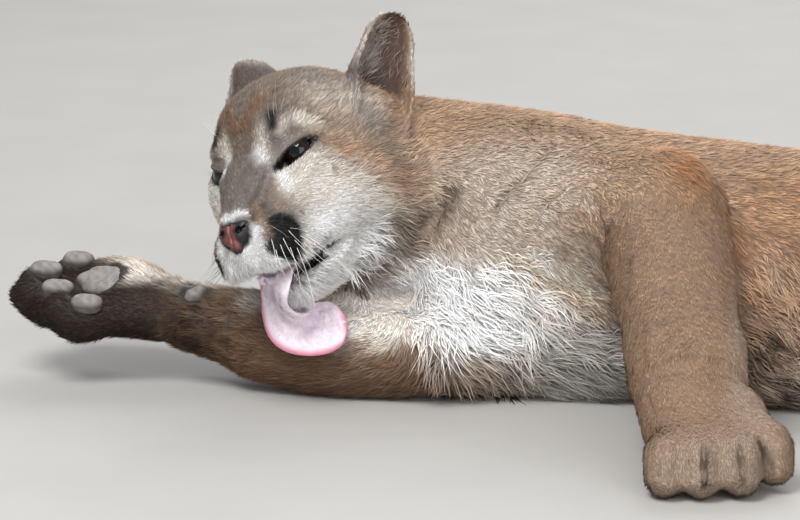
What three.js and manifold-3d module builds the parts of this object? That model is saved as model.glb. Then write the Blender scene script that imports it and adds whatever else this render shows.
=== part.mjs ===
// A life-size cougar that lies on its right side and washes its outstretched right foreleg.
// Millimetres, +Z up, the floor at Z = 0. The body runs along X with the head at the -X end,
// the belly faces -Y, and the head turns round to face -Y as well.
// The flesh is one rounded form, grown from limbs and lumps that blend into each other, and it is
// parted by thin flat cuts where a person would name its parts. Eyes, nose, tongue and pads are
// pieces of their own, set in pockets.

import * as THREE from "three";
import { mergeVertices } from "three/addons/utils/BufferGeometryUtils.js";
import { edgeTable, triTable } from "three/addons/objects/MarchingCubes.js";
import Module from "manifold-3d";

const wasm = await Module();
wasm.setup();

const v = (x, y, z) => new THREE.Vector3(x, y, z);

// Driving dimensions of the animal
const PART_GAP = 0.3; // air between two parts that meet
const CHEST_DEPTH = 278; // breastbone to withers
const CHEST_WIDTH = 196; // across the ribs
const UPPER_ARM_GIRTH = 62; // half of the shoulder's thickness
const FOREARM_HALF = 40;
const WRIST_HALF = 31;
const FOREPAW_LENGTH = 128;
const FOREPAW_WIDTH = 104;
const HINDPAW_WIDTH = 84;
const TAIL_HALF = 29;
const EYE_RADIUS = 15;
const EYE_SPACING = 72;
const EAR_HEIGHT = 88;
const EAR_WIDTH = 65;
const EAR_ROOT = 0.3; // the share of its height that an ear's root is sunk by

// Where the joints are, in the pose
const NECK_BASE = v(95, 82, 126);
const LEFT_SHOULDER = v(84, 62, 156);
const LEFT_ELBOW = v(212, -38, 166);
const LEFT_WRIST = v(228, -214, 52);
const RIGHT_SHOULDER = v(150, 92, 62);
const RIGHT_ELBOW = v(46, -6, 40);
const RIGHT_WRIST = v(-172, 46, 54);
const RIGHT_PALM = v(-256, 60, 67);
const LEFT_HIP = v(705, 96, 138);
const LEFT_KNEE = v(596, -78, 100);
const LEFT_HOCK = v(800, -176, 44);
const LEFT_HIND_TOES = v(640, -292, 20);
const RIGHT_HIP = v(700, 110, 60);
const RIGHT_KNEE = v(492, -10, 52);
const RIGHT_HOCK = v(560, -226, 40);
const RIGHT_HIND_TOES = v(392, -292, 24);

// A place and three directions: forward, left and up.
class Frame {
  constructor(origin, forward, left) {
    this.origin = origin;
    this.f = forward.clone().normalize();
    this.u = this.f.clone().cross(left).normalize();
    this.l = this.u.clone().cross(this.f).normalize();
  }
  at(f, l, u) {
    const along = this.origin.clone().addScaledVector(this.f, f);
    return along.addScaledVector(this.l, l).addScaledVector(this.u, u);
  }
  matrix() {
    return new THREE.Matrix4().makeBasis(this.f, this.l, this.u).setPosition(this.origin);
  }
}

const WORLD = new Frame(v(0, 0, 0), v(1, 0, 0), v(0, 1, 0));

// The head's frame: its origin lies between the eyes, forward is towards the nose.
const HEAD = new Frame(v(-118, -15, 202), v(-0.54, -0.839, 0.065), v(0.79, -0.483, 0.378));

// Shapes are functions of a point that give its distance to a surface, negative inside.
// Each carries a ball that holds it, so that far shapes are passed over, and its own blend:
// how widely it flows into what it touches.

// An egg-shaped lump with half sizes along a frame's three directions.
function lump(centre, halves, frame, blend) {
  const { f, l, u } = frame;
  const [a, b, c] = halves;
  const value = (x, y, z) => {
    const dx = x - centre.x;
    const dy = y - centre.y;
    const dz = z - centre.z;
    const p = dx * f.x + dy * f.y + dz * f.z;
    const q = dx * l.x + dy * l.y + dz * l.z;
    const r = dx * u.x + dy * u.y + dz * u.z;
    const k0 = Math.hypot(p / a, q / b, r / c);
    const k1 = Math.hypot(p / (a * a), q / (b * b), r / (c * c));
    return k1 < 1e-9 ? -Math.min(a, b, c) : (k0 * (k0 - 1)) / k1;
  };
  return { centre, reach: Math.max(a, b, c), value, blend };
}

// The same lump on the head's left side and on its right.
function pair(f, l, u, halves, blend, frame = HEAD) {
  return [lump(frame.at(f, l, u), halves, frame, blend), lump(frame.at(f, -l, u), halves, frame, blend)];
}

// A limb with an oval section that changes along a smooth line. Each station has its place,
// its half width along side, and its half depth across side.
function limb(stations, blend, steps = 4) {
  const line = new THREE.CatmullRomCurve3(stations.map((s) => s.at));
  const sizes = new THREE.CatmullRomCurve3(
    stations.map((s) => v(s.wide, s.deep ?? s.wide, 0)), false, "catmullrom", 0.5,
  );
  const sideways = stations.map((s) => s.side ?? v(0, 0, 1));
  const sides = new THREE.CatmullRomCurve3(sideways, false, "catmullrom", 0.5);
  const count = (stations.length - 1) * steps;
  const links = [];
  for (let i = 0; i < count; i++) {
    const a = line.getPoint(i / count);
    const b = line.getPoint((i + 1) / count);
    const axis = b.clone().sub(a);
    const length = axis.length();
    axis.divideScalar(length);
    const sa = sizes.getPoint(i / count);
    const sb = sizes.getPoint((i + 1) / count);
    const side = sides.getPoint((i + 0.5) / count);
    side.addScaledVector(axis, -side.dot(axis)).normalize();
    links.push({ a, axis, length, sa, sb, side, centre: a.clone().add(b).multiplyScalar(0.5),
      reach: length / 2 + Math.max(sa.x, sa.y, sb.x, sb.y) });
  }
  const value = (x, y, z) => {
    let best = 1e9;
    for (const k of links) {
      const far = Math.hypot(x - k.centre.x, y - k.centre.y, z - k.centre.z) - k.reach;
      if (far > best) continue;
      const dx = x - k.a.x;
      const dy = y - k.a.y;
      const dz = z - k.a.z;
      const along = dx * k.axis.x + dy * k.axis.y + dz * k.axis.z;
      const t = Math.min(1, Math.max(0, along / k.length));
      const wide = k.sa.x + t * (k.sb.x - k.sa.x);
      const deep = k.sa.y + t * (k.sb.y - k.sa.y);
      const cap = Math.min(wide, deep);
      const qx = dx - t * k.length * k.axis.x;
      const qy = dy - t * k.length * k.axis.y;
      const qz = dz - t * k.length * k.axis.z;
      const s = along - t * k.length;
      const p = qx * k.side.x + qy * k.side.y + qz * k.side.z;
      const r2 = Math.max(0, qx * qx + qy * qy + qz * qz - p * p - s * s);
      const k0 = Math.sqrt((p * p) / (wide * wide) + r2 / (deep * deep) + (s * s) / (cap * cap));
      const k1 = Math.sqrt((p * p) / wide ** 4 + r2 / deep ** 4 + (s * s) / cap ** 4);
      const d = k1 < 1e-9 ? -cap : (k0 * (k0 - 1)) / k1;
      if (d < best) best = d;
    }
    return best;
  };
  const box = new THREE.Box3();
  for (const k of links) box.expandByPoint(k.centre);
  const centre = box.getCenter(v(0, 0, 0));
  const reach = Math.max(...links.map((k) => k.centre.distanceTo(centre) + k.reach));
  return { centre, reach, value, blend };
}

// Many shapes flowed together, less the hollows.
function flow(shapes, hollows = []) {
  return (x, y, z) => {
    let sum = 1e9;
    for (const s of shapes) {
      const far = Math.hypot(x - s.centre.x, y - s.centre.y, z - s.centre.z) - s.reach;
      if (far - sum > s.blend) continue;
      const d = s.value(x, y, z);
      const h = Math.max(s.blend - Math.abs(sum - d), 0) / s.blend;
      sum = Math.min(sum, d) - h * h * s.blend * 0.25;
    }
    for (const s of hollows) {
      const far = Math.hypot(x - s.centre.x, y - s.centre.y, z - s.centre.z) - s.reach;
      if (far > s.blend) continue;
      const d = -s.value(x, y, z);
      const h = Math.max(s.blend - Math.abs(sum - d), 0) / s.blend;
      sum = Math.max(sum, d) + h * h * s.blend * 0.25;
    }
    return sum;
  };
}

// Marching cubes over a box: the surface where a field is zero, closed at the box's walls.
function surfaceOf(field, low, high, cell) {
  const n = [0, 1, 2].map((i) => Math.ceil((high.getComponent(i) - low.getComponent(i)) / cell) + 1);
  const [nx, ny, nz] = n;
  const values = new Float32Array(nx * ny * nz);
  const at = (i, j, k) => i + nx * (j + ny * k);
  const BLOCK = 6;
  const blockReach = cell * BLOCK * Math.sqrt(3) * 0.5;
  for (let k0 = 0; k0 < nz; k0 += BLOCK) {
    for (let j0 = 0; j0 < ny; j0 += BLOCK) {
      for (let i0 = 0; i0 < nx; i0 += BLOCK) {
        const mid = field(
          low.x + (i0 + BLOCK / 2) * cell, low.y + (j0 + BLOCK / 2) * cell, low.z + (k0 + BLOCK / 2) * cell,
        );
        const far = Math.abs(mid) > blockReach * 2;
        for (let k = k0; k < Math.min(nz, k0 + BLOCK); k++) {
          for (let j = j0; j < Math.min(ny, j0 + BLOCK); j++) {
            for (let i = i0; i < Math.min(nx, i0 + BLOCK); i++) {
              const wall = i === 0 || j === 0 || k === 0 || i === nx - 1 || j === ny - 1 || k === nz - 1;
              let d = far ? mid : field(low.x + i * cell, low.y + j * cell, low.z + k * cell);
              if (wall) d = Math.max(d, cell / 2);
              values[at(i, j, k)] = d;
            }
          }
        }
      }
    }
  }
  const corners = [[0, 0, 0], [1, 0, 0], [1, 1, 0], [0, 1, 0], [0, 0, 1], [1, 0, 1], [1, 1, 1], [0, 1, 1]];
  const edges = [
    [0, 1], [1, 2], [2, 3], [3, 0],
    [4, 5], [5, 6], [6, 7], [7, 4],
    [0, 4], [1, 5], [2, 6], [3, 7],
  ];
  const points = [];
  const triangles = [];
  const known = new Map();
  for (let k = 0; k < nz - 1; k++) {
    for (let j = 0; j < ny - 1; j++) {
      for (let i = 0; i < nx - 1; i++) {
        let cube = 0;
        for (let c = 0; c < 8; c++) {
          if (values[at(i + corners[c][0], j + corners[c][1], k + corners[c][2])] < 0) cube |= 1 << c;
        }
        if (!edgeTable[cube]) continue;
        const vertex = (edge) => {
          const ends = edges[edge].map((c) => [i + corners[c][0], j + corners[c][1], k + corners[c][2]]);
          const ids = ends.map((e) => at(...e));
          const key = Math.min(...ids) * 3 + (edge > 7 ? 2 : edge % 2);
          if (!known.has(key)) {
            const t = values[ids[0]] / (values[ids[0]] - values[ids[1]]);
            const safe = Math.min(0.95, Math.max(0.05, t));
            known.set(key, points.length / 3);
            for (let a = 0; a < 3; a++) {
              points.push(low.getComponent(a) + cell * (ends[0][a] + safe * (ends[1][a] - ends[0][a])));
            }
          }
          return known.get(key);
        };
        for (let s = cube * 16; triTable[s] !== -1; s += 3) {
          triangles.push(vertex(triTable[s]), vertex(triTable[s + 1]), vertex(triTable[s + 2]));
        }
      }
    }
  }
  return { points, triangles };
}

// Thins a closed mesh to about a number of triangles: edges are drawn together one by one, those
// first that change the surface least, and none that would fold or pinch it.
function thinned({ points, triangles }, target) {
  const P = Float64Array.from(points);
  const T = Int32Array.from(triangles);
  const count = P.length / 3;
  const Q = new Float64Array(count * 10);
  const fans = Array.from({ length: count }, () => []);
  const stamp = new Int32Array(count);
  const dead = new Uint8Array(T.length / 3);
  let left = T.length / 3;
  const sub = (a, b) => [P[a * 3] - P[b * 3], P[a * 3 + 1] - P[b * 3 + 1], P[a * 3 + 2] - P[b * 3 + 2]];
  const cross = (a, b) => [a[1] * b[2] - a[2] * b[1], a[2] * b[0] - a[0] * b[2], a[0] * b[1] - a[1] * b[0]];
  const dot = (a, b) => a[0] * b[0] + a[1] * b[1] + a[2] * b[2];
  for (let f = 0; f < left; f++) {
    const [a, b, c] = [T[f * 3], T[f * 3 + 1], T[f * 3 + 2]];
    const n = cross(sub(b, a), sub(c, a));
    const twice = Math.sqrt(dot(n, n)) || 1e-12;
    const [x, y, z] = n.map((m) => m / twice);
    const w = -(x * P[a * 3] + y * P[a * 3 + 1] + z * P[a * 3 + 2]);
    const q = [x * x, x * y, x * z, x * w, y * y, y * z, y * w, z * z, z * w, w * w];
    for (const p of [a, b, c]) {
      fans[p].push(f);
      for (let i = 0; i < 10; i++) Q[p * 10 + i] += (q[i] * twice) / 6;
    }
  }
  const heap = [];
  const swap = (i, j) => ([heap[i], heap[j]] = [heap[j], heap[i]]);
  const push = (item) => {
    let i = heap.push(item) - 1;
    while (i > 0 && heap[(i - 1) >> 1].cost > heap[i].cost) {
      swap(i, (i - 1) >> 1);
      i = (i - 1) >> 1;
    }
  };
  const pop = () => {
    const top = heap[0];
    const last = heap.pop();
    if (heap.length) {
      heap[0] = last;
      for (let i = 0; ; ) {
        let m = i;
        for (const j of [2 * i + 1, 2 * i + 2]) if (j < heap.length && heap[j].cost < heap[m].cost) m = j;
        if (m === i) break;
        swap(i, m);
        i = m;
      }
    }
    return top;
  };
  const offer = (a, b) => {
    const q = [];
    for (let i = 0; i < 10; i++) q.push(Q[a * 10 + i] + Q[b * 10 + i]);
    const error = ([x, y, z]) =>
      q[0] * x * x + 2 * q[1] * x * y + 2 * q[2] * x * z + 2 * q[3] * x +
      q[4] * y * y + 2 * q[5] * y * z + 2 * q[6] * y +
      q[7] * z * z + 2 * q[8] * z + q[9];
    const mid = [0, 1, 2].map((i) => (P[a * 3 + i] + P[b * 3 + i]) / 2);
    const edge = sub(a, b);
    const length2 = dot(edge, edge);
    // The best place for the joined point, drawn a little towards the edge's middle.
    const hold = (q[0] + q[4] + q[7]) * 0.002 + 1e-9;
    const A = [q[0] + hold, q[1], q[2], q[4] + hold, q[5], q[7] + hold];
    const r = [hold * mid[0] - q[3], hold * mid[1] - q[6], hold * mid[2] - q[8]];
    const det = A[0] * (A[3] * A[5] - A[4] * A[4]) - A[1] * (A[1] * A[5] - A[4] * A[2]) +
      A[2] * (A[1] * A[4] - A[3] * A[2]);
    let at = mid;
    if (Math.abs(det) > 1e-12) {
      const x = (r[0] * (A[3] * A[5] - A[4] * A[4]) - A[1] * (r[1] * A[5] - A[4] * r[2]) +
        A[2] * (r[1] * A[4] - A[3] * r[2])) / det;
      const y = (A[0] * (r[1] * A[5] - A[4] * r[2]) - r[0] * (A[1] * A[5] - A[4] * A[2]) +
        A[2] * (A[1] * r[2] - r[1] * A[2])) / det;
      const z = (A[0] * (A[3] * r[2] - r[1] * A[4]) - A[1] * (A[1] * r[2] - r[1] * A[2]) +
        r[0] * (A[1] * A[4] - A[3] * A[2])) / det;
      if ((x - mid[0]) ** 2 + (y - mid[1]) ** 2 + (z - mid[2]) ** 2 < length2) at = [x, y, z];
    }
    push({ cost: Math.max(0, error(at)) + 2e-5 * length2 * length2, a, b, sa: stamp[a], sb: stamp[b], at });
  };
  const around = (p) => new Set(fans[p].flatMap((f) => [T[f * 3], T[f * 3 + 1], T[f * 3 + 2]]));
  for (let f = 0; f < left; f++) {
    for (let e = 0; e < 3; e++) {
      const [a, b] = [T[f * 3 + e], T[f * 3 + ((e + 1) % 3)]];
      if (a < b) offer(a, b);
    }
  }
  while (left > target && heap.length) {
    const { a, b, sa, sb, at } = pop();
    if (stamp[a] !== sa || stamp[b] !== sb) continue;
    const near = around(a);
    const shared = [...around(b)].filter((p) => p !== a && p !== b && near.has(p));
    if (shared.length !== 2) continue;
    const folds = [a, b].some((p) => fans[p].some((f) => {
      const t = [T[f * 3], T[f * 3 + 1], T[f * 3 + 2]];
      if (t.includes(a) && t.includes(b)) return false;
      const was = cross(sub(t[1], t[0]), sub(t[2], t[0]));
      const c = t.map((x) => (x === p ? at : [P[x * 3], P[x * 3 + 1], P[x * 3 + 2]]));
      const e1 = c[1].map((x, i) => x - c[0][i]);
      const e2 = c[2].map((x, i) => x - c[0][i]);
      const now = cross(e1, e2);
      const area = Math.sqrt(dot(now, now));
      const e3 = e1.map((x, i) => x - e2[i]);
      const longest = Math.max(dot(e1, e1), dot(e2, e2), dot(e3, e3));
      return dot(was, now) < 0.25 * area * Math.sqrt(dot(was, was)) || area < 0.08 * longest;
    }));
    if (folds) continue;
    for (let i = 0; i < 3; i++) P[a * 3 + i] = at[i];
    for (let i = 0; i < 10; i++) Q[a * 10 + i] += Q[b * 10 + i];
    for (const f of fans[b]) {
      const slots = [0, 1, 2].map((e) => T[f * 3 + e]);
      if (slots.includes(a)) {
        dead[f] = 1;
        left--;
      } else {
        T[f * 3 + slots.indexOf(b)] = a;
        fans[a].push(f);
      }
    }
    for (const p of shared) fans[p] = fans[p].filter((f) => !dead[f]);
    fans[a] = fans[a].filter((f) => !dead[f]);
    fans[b] = [];
    stamp[a]++;
    stamp[b]++;
    for (const p of around(a)) if (p !== a) offer(a, p);
  }
  const kept = [];
  for (let f = 0; f < dead.length; f++) if (!dead[f]) kept.push(T[f * 3], T[f * 3 + 1], T[f * 3 + 2]);
  const order = new Map();
  const out = [];
  for (const p of kept) {
    if (!order.has(p)) {
      order.set(p, out.length / 3);
      out.push(P[p * 3], P[p * 3 + 1], P[p * 3 + 2]);
    }
  }
  return { points: out, triangles: kept.map((p) => order.get(p)) };
}

// A closed mesh as a solid, whichever way its faces were wound.
function solid({ points, triangles }) {
  const make = (tris) => new wasm.Manifold(
    new wasm.Mesh({
      numProp: 3,
      vertProperties: Float32Array.from(points),
      triVerts: Uint32Array.from(tris),
    }),
  );
  const made = make(triangles);
  return made.volume() > 0 ? made : make([...triangles].reverse());
}

function solidOfGeometry(geometry, matrix = new THREE.Matrix4()) {
  const bare = new THREE.BufferGeometry().setAttribute("position", geometry.getAttribute("position").clone());
  if (geometry.index) bare.setIndex(geometry.index.clone());
  bare.applyMatrix4(matrix);
  const merged = mergeVertices(bare, 1e-3);
  return solid({ points: merged.attributes.position.array, triangles: Array.from(merged.index.array) });
}

// A block along a frame's directions, from one corner to the other.
function block(frame, low, high, grow = 0) {
  const size = [0, 1, 2].map((i) => high[i] - low[i] + 2 * grow);
  const centre = frame.at(...[0, 1, 2].map((i) => (high[i] + low[i]) / 2));
  const turned = new Frame(centre, frame.f, frame.l);
  return solidOfGeometry(new THREE.BoxGeometry(...size), turned.matrix());
}

// A smooth egg, for eyes, pads and pockets.
function egg(centre, halves, frame, grow = 0, detail = 3) {
  const turned = new Frame(centre, frame.f, frame.l).matrix();
  turned.scale(v(...halves.map((h) => h + grow)));
  return solidOfGeometry(new THREE.IcosahedronGeometry(1, detail), turned);
}

// The largest closed body of a solid.
function largest(whole) {
  const bodies = whole.decompose();
  return bodies.reduce((a, b) => (a.volume() > b.volume() ? a : b));
}

// Trunk: the ribs are rolled over on the right side, so that side points up and a little forward.
function rolled(degrees) {
  const roll = THREE.MathUtils.degToRad(degrees);
  return v(0, -Math.cos(roll), Math.sin(roll));
}

const trunk = [
  limb([
    { at: NECK_BASE, wide: 0.86 * CHEST_WIDTH / 2, deep: 0.75 * CHEST_DEPTH / 2, side: rolled(62) },
    { at: v(165, 78, 106), wide: 0.98 * CHEST_WIDTH / 2, deep: 0.92 * CHEST_DEPTH / 2, side: rolled(65) },
    { at: v(265, 74, 94), wide: 0.97 * CHEST_WIDTH / 2, deep: 0.98 * CHEST_DEPTH / 2, side: rolled(68) },
    { at: v(375, 82, 86), wide: 0.92 * CHEST_WIDTH / 2, deep: 0.97 * CHEST_DEPTH / 2, side: rolled(72) },
    { at: v(490, 95, 83), wide: 0.87 * CHEST_WIDTH / 2, deep: 0.87 * CHEST_DEPTH / 2, side: rolled(76) },
    { at: v(600, 105, 84), wide: 0.87 * CHEST_WIDTH / 2, deep: 0.82 * CHEST_DEPTH / 2, side: rolled(78) },
    { at: v(690, 112, 88), wide: 0.91 * CHEST_WIDTH / 2, deep: 0.78 * CHEST_DEPTH / 2, side: rolled(80) },
    { at: v(748, 118, 84), wide: 0.82 * CHEST_WIDTH / 2, deep: 0.68 * CHEST_DEPTH / 2, side: rolled(82) },
  ], 30),
  // breastbone fur and belly, sunk towards the floor
  lump(v(165, 18, 38), [125, 54, 46], WORLD, 40),
  lump(v(335, 2, 46), [150, 78, 58], WORLD, 30),
];

const neck = [
  limb([
    { at: HEAD.at(-92, 0, -16), wide: 60, deep: 64, side: HEAD.l },
    { at: v(-28, 82, 170), wide: 66, deep: 74, side: rolled(50) },
    { at: v(34, 86, 148), wide: 72, deep: 88, side: rolled(58) },
    { at: NECK_BASE, wide: 0.86 * CHEST_WIDTH / 2, deep: 0.75 * CHEST_DEPTH / 2, side: rolled(62) },
  ], 34),
  // the deep front of the chest, between the forelegs, and the underside of the neck
  lump(v(86, 30, 70), [72, 58, 66], WORLD, 36),
  lump(v(8, 88, 98), [64, 50, 56], WORLD, 34),
  lump(v(-18, 74, 88), [46, 38, 34], WORLD, 20),
  lump(v(-32, 38, 94), [44, 34, 22], WORLD, 16),
  lump(v(24, 88, 196), [66, 42, 37], WORLD, 24),
];

const tail = [
  limb([
    { at: v(772, 126, 84), wide: 66, deep: 66 },
    { at: v(830, 138, 66), wide: 48, deep: 48 },
    { at: v(892, 146, 46), wide: TAIL_HALF + 8 },
    { at: v(960, 136, 34), wide: TAIL_HALF + 3 },
    { at: v(1034, 84, TAIL_HALF), wide: TAIL_HALF + 1 },
    { at: v(1078, -4, TAIL_HALF - 1), wide: TAIL_HALF },
    { at: v(1072, -108, TAIL_HALF - 2), wide: TAIL_HALF - 1 },
    { at: v(1008, -192, TAIL_HALF - 2), wide: TAIL_HALF - 1 },
    { at: v(930, -236, TAIL_HALF - 3), wide: TAIL_HALF - 3 },
    { at: v(884, -250, TAIL_HALF - 4), wide: TAIL_HALF - 8 },
  ], 30),
];

// Forelegs
const leftArm = [
  limb([
    { at: v(176, 112, 142), wide: 40, deep: 60, side: rolled(66) },
    { at: LEFT_SHOULDER, wide: 54, deep: UPPER_ARM_GIRTH, side: rolled(66) },
  ], 40),
  limb([
    { at: LEFT_SHOULDER, wide: UPPER_ARM_GIRTH - 4, deep: UPPER_ARM_GIRTH },
    { at: LEFT_SHOULDER.clone().lerp(LEFT_ELBOW, 0.5), wide: UPPER_ARM_GIRTH - 4, deep: UPPER_ARM_GIRTH - 2 },
    { at: LEFT_ELBOW, wide: 56, deep: 54 },
  ], 34),
  limb([
    { at: LEFT_ELBOW, wide: 58, deep: 50, side: v(1, 0, 0) },
    { at: v(220, -100, 126), wide: 54, deep: 46, side: v(1, 0, 0) },
    { at: v(226, -168, 82), wide: 46, deep: 38, side: v(1, 0, 0) },
    { at: LEFT_WRIST, wide: 43, deep: 34, side: v(1, 0, 0) },
  ], 12),
];

const rightArm = [
  limb([
    { at: RIGHT_SHOULDER, wide: 56, deep: 60 },
    { at: v(70, 6, 46), wide: 40, deep: 42 },
  ], 20),
  limb([
    { at: RIGHT_ELBOW, wide: FOREARM_HALF + 2, deep: FOREARM_HALF, side: v(0, 1, 0) },
    { at: v(-58, 10, 41), wide: FOREARM_HALF + 2, deep: FOREARM_HALF - 1, side: v(0, 1, 0) },
    { at: v(-125, 33, 46), wide: FOREARM_HALF - 4, deep: 32, side: v(0, 1, 0) },
    { at: RIGHT_WRIST, wide: WRIST_HALF + 2, deep: 27, side: v(0, 1, 0) },
  ], 16),
  // the underside, pressed flat on the floor
  limb([
    { at: v(-122, 12, 30), wide: 22 },
    { at: v(-83, 1, 22), wide: 21 },
    { at: v(-50, -8, 21), wide: 20.5 },
    { at: v(0, -12, 21), wide: 20.5 },
  ], 14),
];

// A paw: a palm and four toes that fan out from it, the outer two set back.
// frame.f points to the toes, frame.l to one side, and frame.u to the back of the paw.
// setBack says how far each toe stands behind the longest ones.
function paw(frame, width, length, thick, setBack, blend = 9) {
  const toe = width * 0.17;
  const shapes = [
    lump(frame.at(-length * 0.1, 0, 0), [length * 0.42, width * 0.43, thick * 0.44], frame, 20),
  ];
  [-1.42, -0.5, 0.5, 1.42].forEach((row, i) => {
    const back = length * setBack[i];
    const root = frame.at(length * 0.02 - back * 0.5, row * toe * 1.25, thick * 0.06);
    const knuckle = frame.at(length * 0.27 - back, row * toe * 1.58, thick * 0.12);
    const tip = frame.at(length * 0.5 - toe - back, row * toe * 1.6, -thick * 0.13);
    shapes.push(limb([
      { at: root, wide: toe * 0.8, deep: toe * 0.95, side: frame.l },
      { at: knuckle, wide: toe * 0.88, deep: toe * 1.1, side: frame.l },
      { at: tip, wide: toe * 0.86, deep: toe, side: frame.l },
    ], blend, 3));
  });
  return shapes;
}

const LEFT_SET_BACK = [0.03, 0, 0.01, 0.15];
const RIGHT_SET_BACK = [0.2, -0.01, 0, 0.17];
const LEFT_PAW = new Frame(v(244, -248, 30), v(0.04, -1, -0.12), v(1, 0.04, 0.03));
const leftWrist = limb([
  { at: v(226, -168, 82), wide: 46, deep: 38, side: v(1, 0, 0) },
  { at: LEFT_WRIST, wide: 43, deep: 34, side: v(1, 0, 0) },
  { at: LEFT_PAW.at(-20, 0, 4), wide: 46, deep: 30, side: v(1, 0, 0) },
], 22);
const leftPaw = paw(LEFT_PAW, FOREPAW_WIDTH + 8, FOREPAW_LENGTH, 62, LEFT_SET_BACK, 6);
// The palm of the right paw faces up and a little towards -Y, so its back faces down.
const RIGHT_PAW = new Frame(RIGHT_PALM, v(-0.99, 0.12, 0.05), v(0.12, 0.97, 0.17));
const rightWrist = limb([
  { at: v(-125, 33, 46), wide: FOREARM_HALF - 4, deep: 32, side: v(0, 1, 0) },
  { at: RIGHT_WRIST, wide: WRIST_HALF + 2, deep: 27, side: v(0, 1, 0) },
  { at: RIGHT_PAW.at(-24, 0, 0), wide: 40, deep: 25, side: RIGHT_PAW.l },
], 18);
const rightPaw = [
  ...paw(RIGHT_PAW, FOREPAW_WIDTH, FOREPAW_LENGTH + 22, 46, RIGHT_SET_BACK, 6),
  lump(RIGHT_PAW.at(-14, 34, -6), [34, 18, 19], RIGHT_PAW, 14),
];

// Hind legs
const leftHind = [
  limb([
    { at: LEFT_HIP, wide: 78, deep: 84 },
    { at: LEFT_HIP.clone().lerp(LEFT_KNEE, 0.55), wide: 62, deep: 74 },
    { at: LEFT_KNEE, wide: 46, deep: 48 },
  ], 40),
  limb([
    { at: LEFT_KNEE, wide: 46, deep: 48 },
    { at: LEFT_KNEE.clone().lerp(LEFT_HOCK, 0.45), wide: 38, deep: 42 },
    { at: LEFT_HOCK, wide: 27, deep: 30 },
  ], 10),
];
const leftFoot = [
  limb([
    { at: LEFT_HOCK.clone().add(v(10, 8, 2)), wide: 27, deep: 30 },
    { at: LEFT_HOCK.clone().lerp(LEFT_HIND_TOES, 0.45), wide: 27, deep: 28 },
    { at: LEFT_HOCK.clone().lerp(LEFT_HIND_TOES, 0.72), wide: 30, deep: 28 },
  ], 14),
];
const rightHind = [
  limb([
    { at: RIGHT_HIP, wide: 60, deep: 74 },
    { at: RIGHT_HIP.clone().lerp(RIGHT_KNEE, 0.6), wide: 54, deep: 66 },
    { at: RIGHT_KNEE, wide: 46, deep: 48 },
  ], 34),
  limb([
    { at: RIGHT_KNEE, wide: 46, deep: 46 },
    { at: RIGHT_KNEE.clone().lerp(RIGHT_HOCK, 0.45), wide: 38, deep: 40 },
    { at: RIGHT_HOCK, wide: 27, deep: 30 },
  ], 10),
];
const rightFoot = [
  limb([
    { at: RIGHT_HOCK.clone().add(v(12, 4, 1)), wide: 27, deep: 30 },
    { at: RIGHT_HOCK.clone().lerp(RIGHT_HIND_TOES, 0.45), wide: 26, deep: 26 },
    { at: RIGHT_HOCK.clone().lerp(RIGHT_HIND_TOES, 0.72), wide: 28, deep: 26 },
  ], 14),
];
const LEFT_HIND_PAW = new Frame(v(682, -262, 32), v(-0.82, -0.56, -0.06), v(0.38, -0.63, 0.66));
const RIGHT_HIND_PAW = new Frame(v(438, -276, 36), v(-0.95, -0.28, -0.05), v(0.07, -0.39, 0.88));
const HIND_SET_BACK = [0.13, 0, 0, 0.13];
const leftHindPaw = paw(LEFT_HIND_PAW, HINDPAW_WIDTH, 112, 50, HIND_SET_BACK, 6);
const rightHindPaw = paw(RIGHT_HIND_PAW, HINDPAW_WIDTH - 4, 112, 48, HIND_SET_BACK, 6);

// Head, in its own frame: forward, left, up from between the eyes
const mirrored = (make) => [make(1), make(-1)];
const eyeCentre = (m) => HEAD.at(-12, (m * EYE_SPACING) / 2, -1);
// the way each eye looks out through its lids, and the slant of the slit
const eyeFrame = (m) => {
  const gaze = HEAD.f.clone().multiplyScalar(0.906).addScaledVector(HEAD.l, m * 0.423);
  const slit = HEAD.f.clone().multiplyScalar(-0.38).addScaledVector(HEAD.l, m * 0.82);
  slit.addScaledVector(HEAD.u, 0.43);
  return new Frame(eyeCentre(m), gaze, slit);
};
const cranium = [
  lump(HEAD.at(-74, 0, 15), [72, 64, 58], HEAD, 20),
  ...pair(-84, 44, -34, [56, 40, 52], 22),
];
const face = [
  lump(HEAD.at(-32, 0, 26), [44, 46, 37], HEAD, 20),
  ...pair(-8, 29, 17, [21, 16, 14], 12),
  lump(HEAD.at(2, 0, -24), [40, 36, 32], HEAD, 16),
  limb([
    { at: HEAD.at(0, 0, 4), wide: 20, deep: 16, side: HEAD.l },
    { at: HEAD.at(34, 0, -26), wide: 17, deep: 14, side: HEAD.l },
    { at: HEAD.at(50, 0, -46), wide: 17, deep: 14, side: HEAD.l },
  ], 12),
  // lids
  ...mirrored((m) => lump(eyeCentre(m), [19, 19, 18], HEAD, 7)),
  // whisker pads, the lip between them and the upper lips back to the corners
  ...pair(30, 18, -66, [28, 21, 23], 9),
  lump(HEAD.at(48, 0, -67), [13, 13, 19], HEAD, 8),
  ...mirrored((m) => limb([
    { at: HEAD.at(35, m * 19, -75), wide: 13 },
    { at: HEAD.at(8, m * 32, -73), wide: 15 },
    { at: HEAD.at(-20, m * 37, -68), wide: 18 },
  ], 12)),
  ...pair(-40, 42, -36, [42, 30, 40], 16),
  // cheekbones and the roots of the ears
  ...pair(-18, 42, -20, [30, 18, 20], 16),
  ...pair(4, 27, -42, [27, 16, 20], 12),
  ...pair(-95, 56, 14, [24, 20, 24], 14),
];
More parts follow.
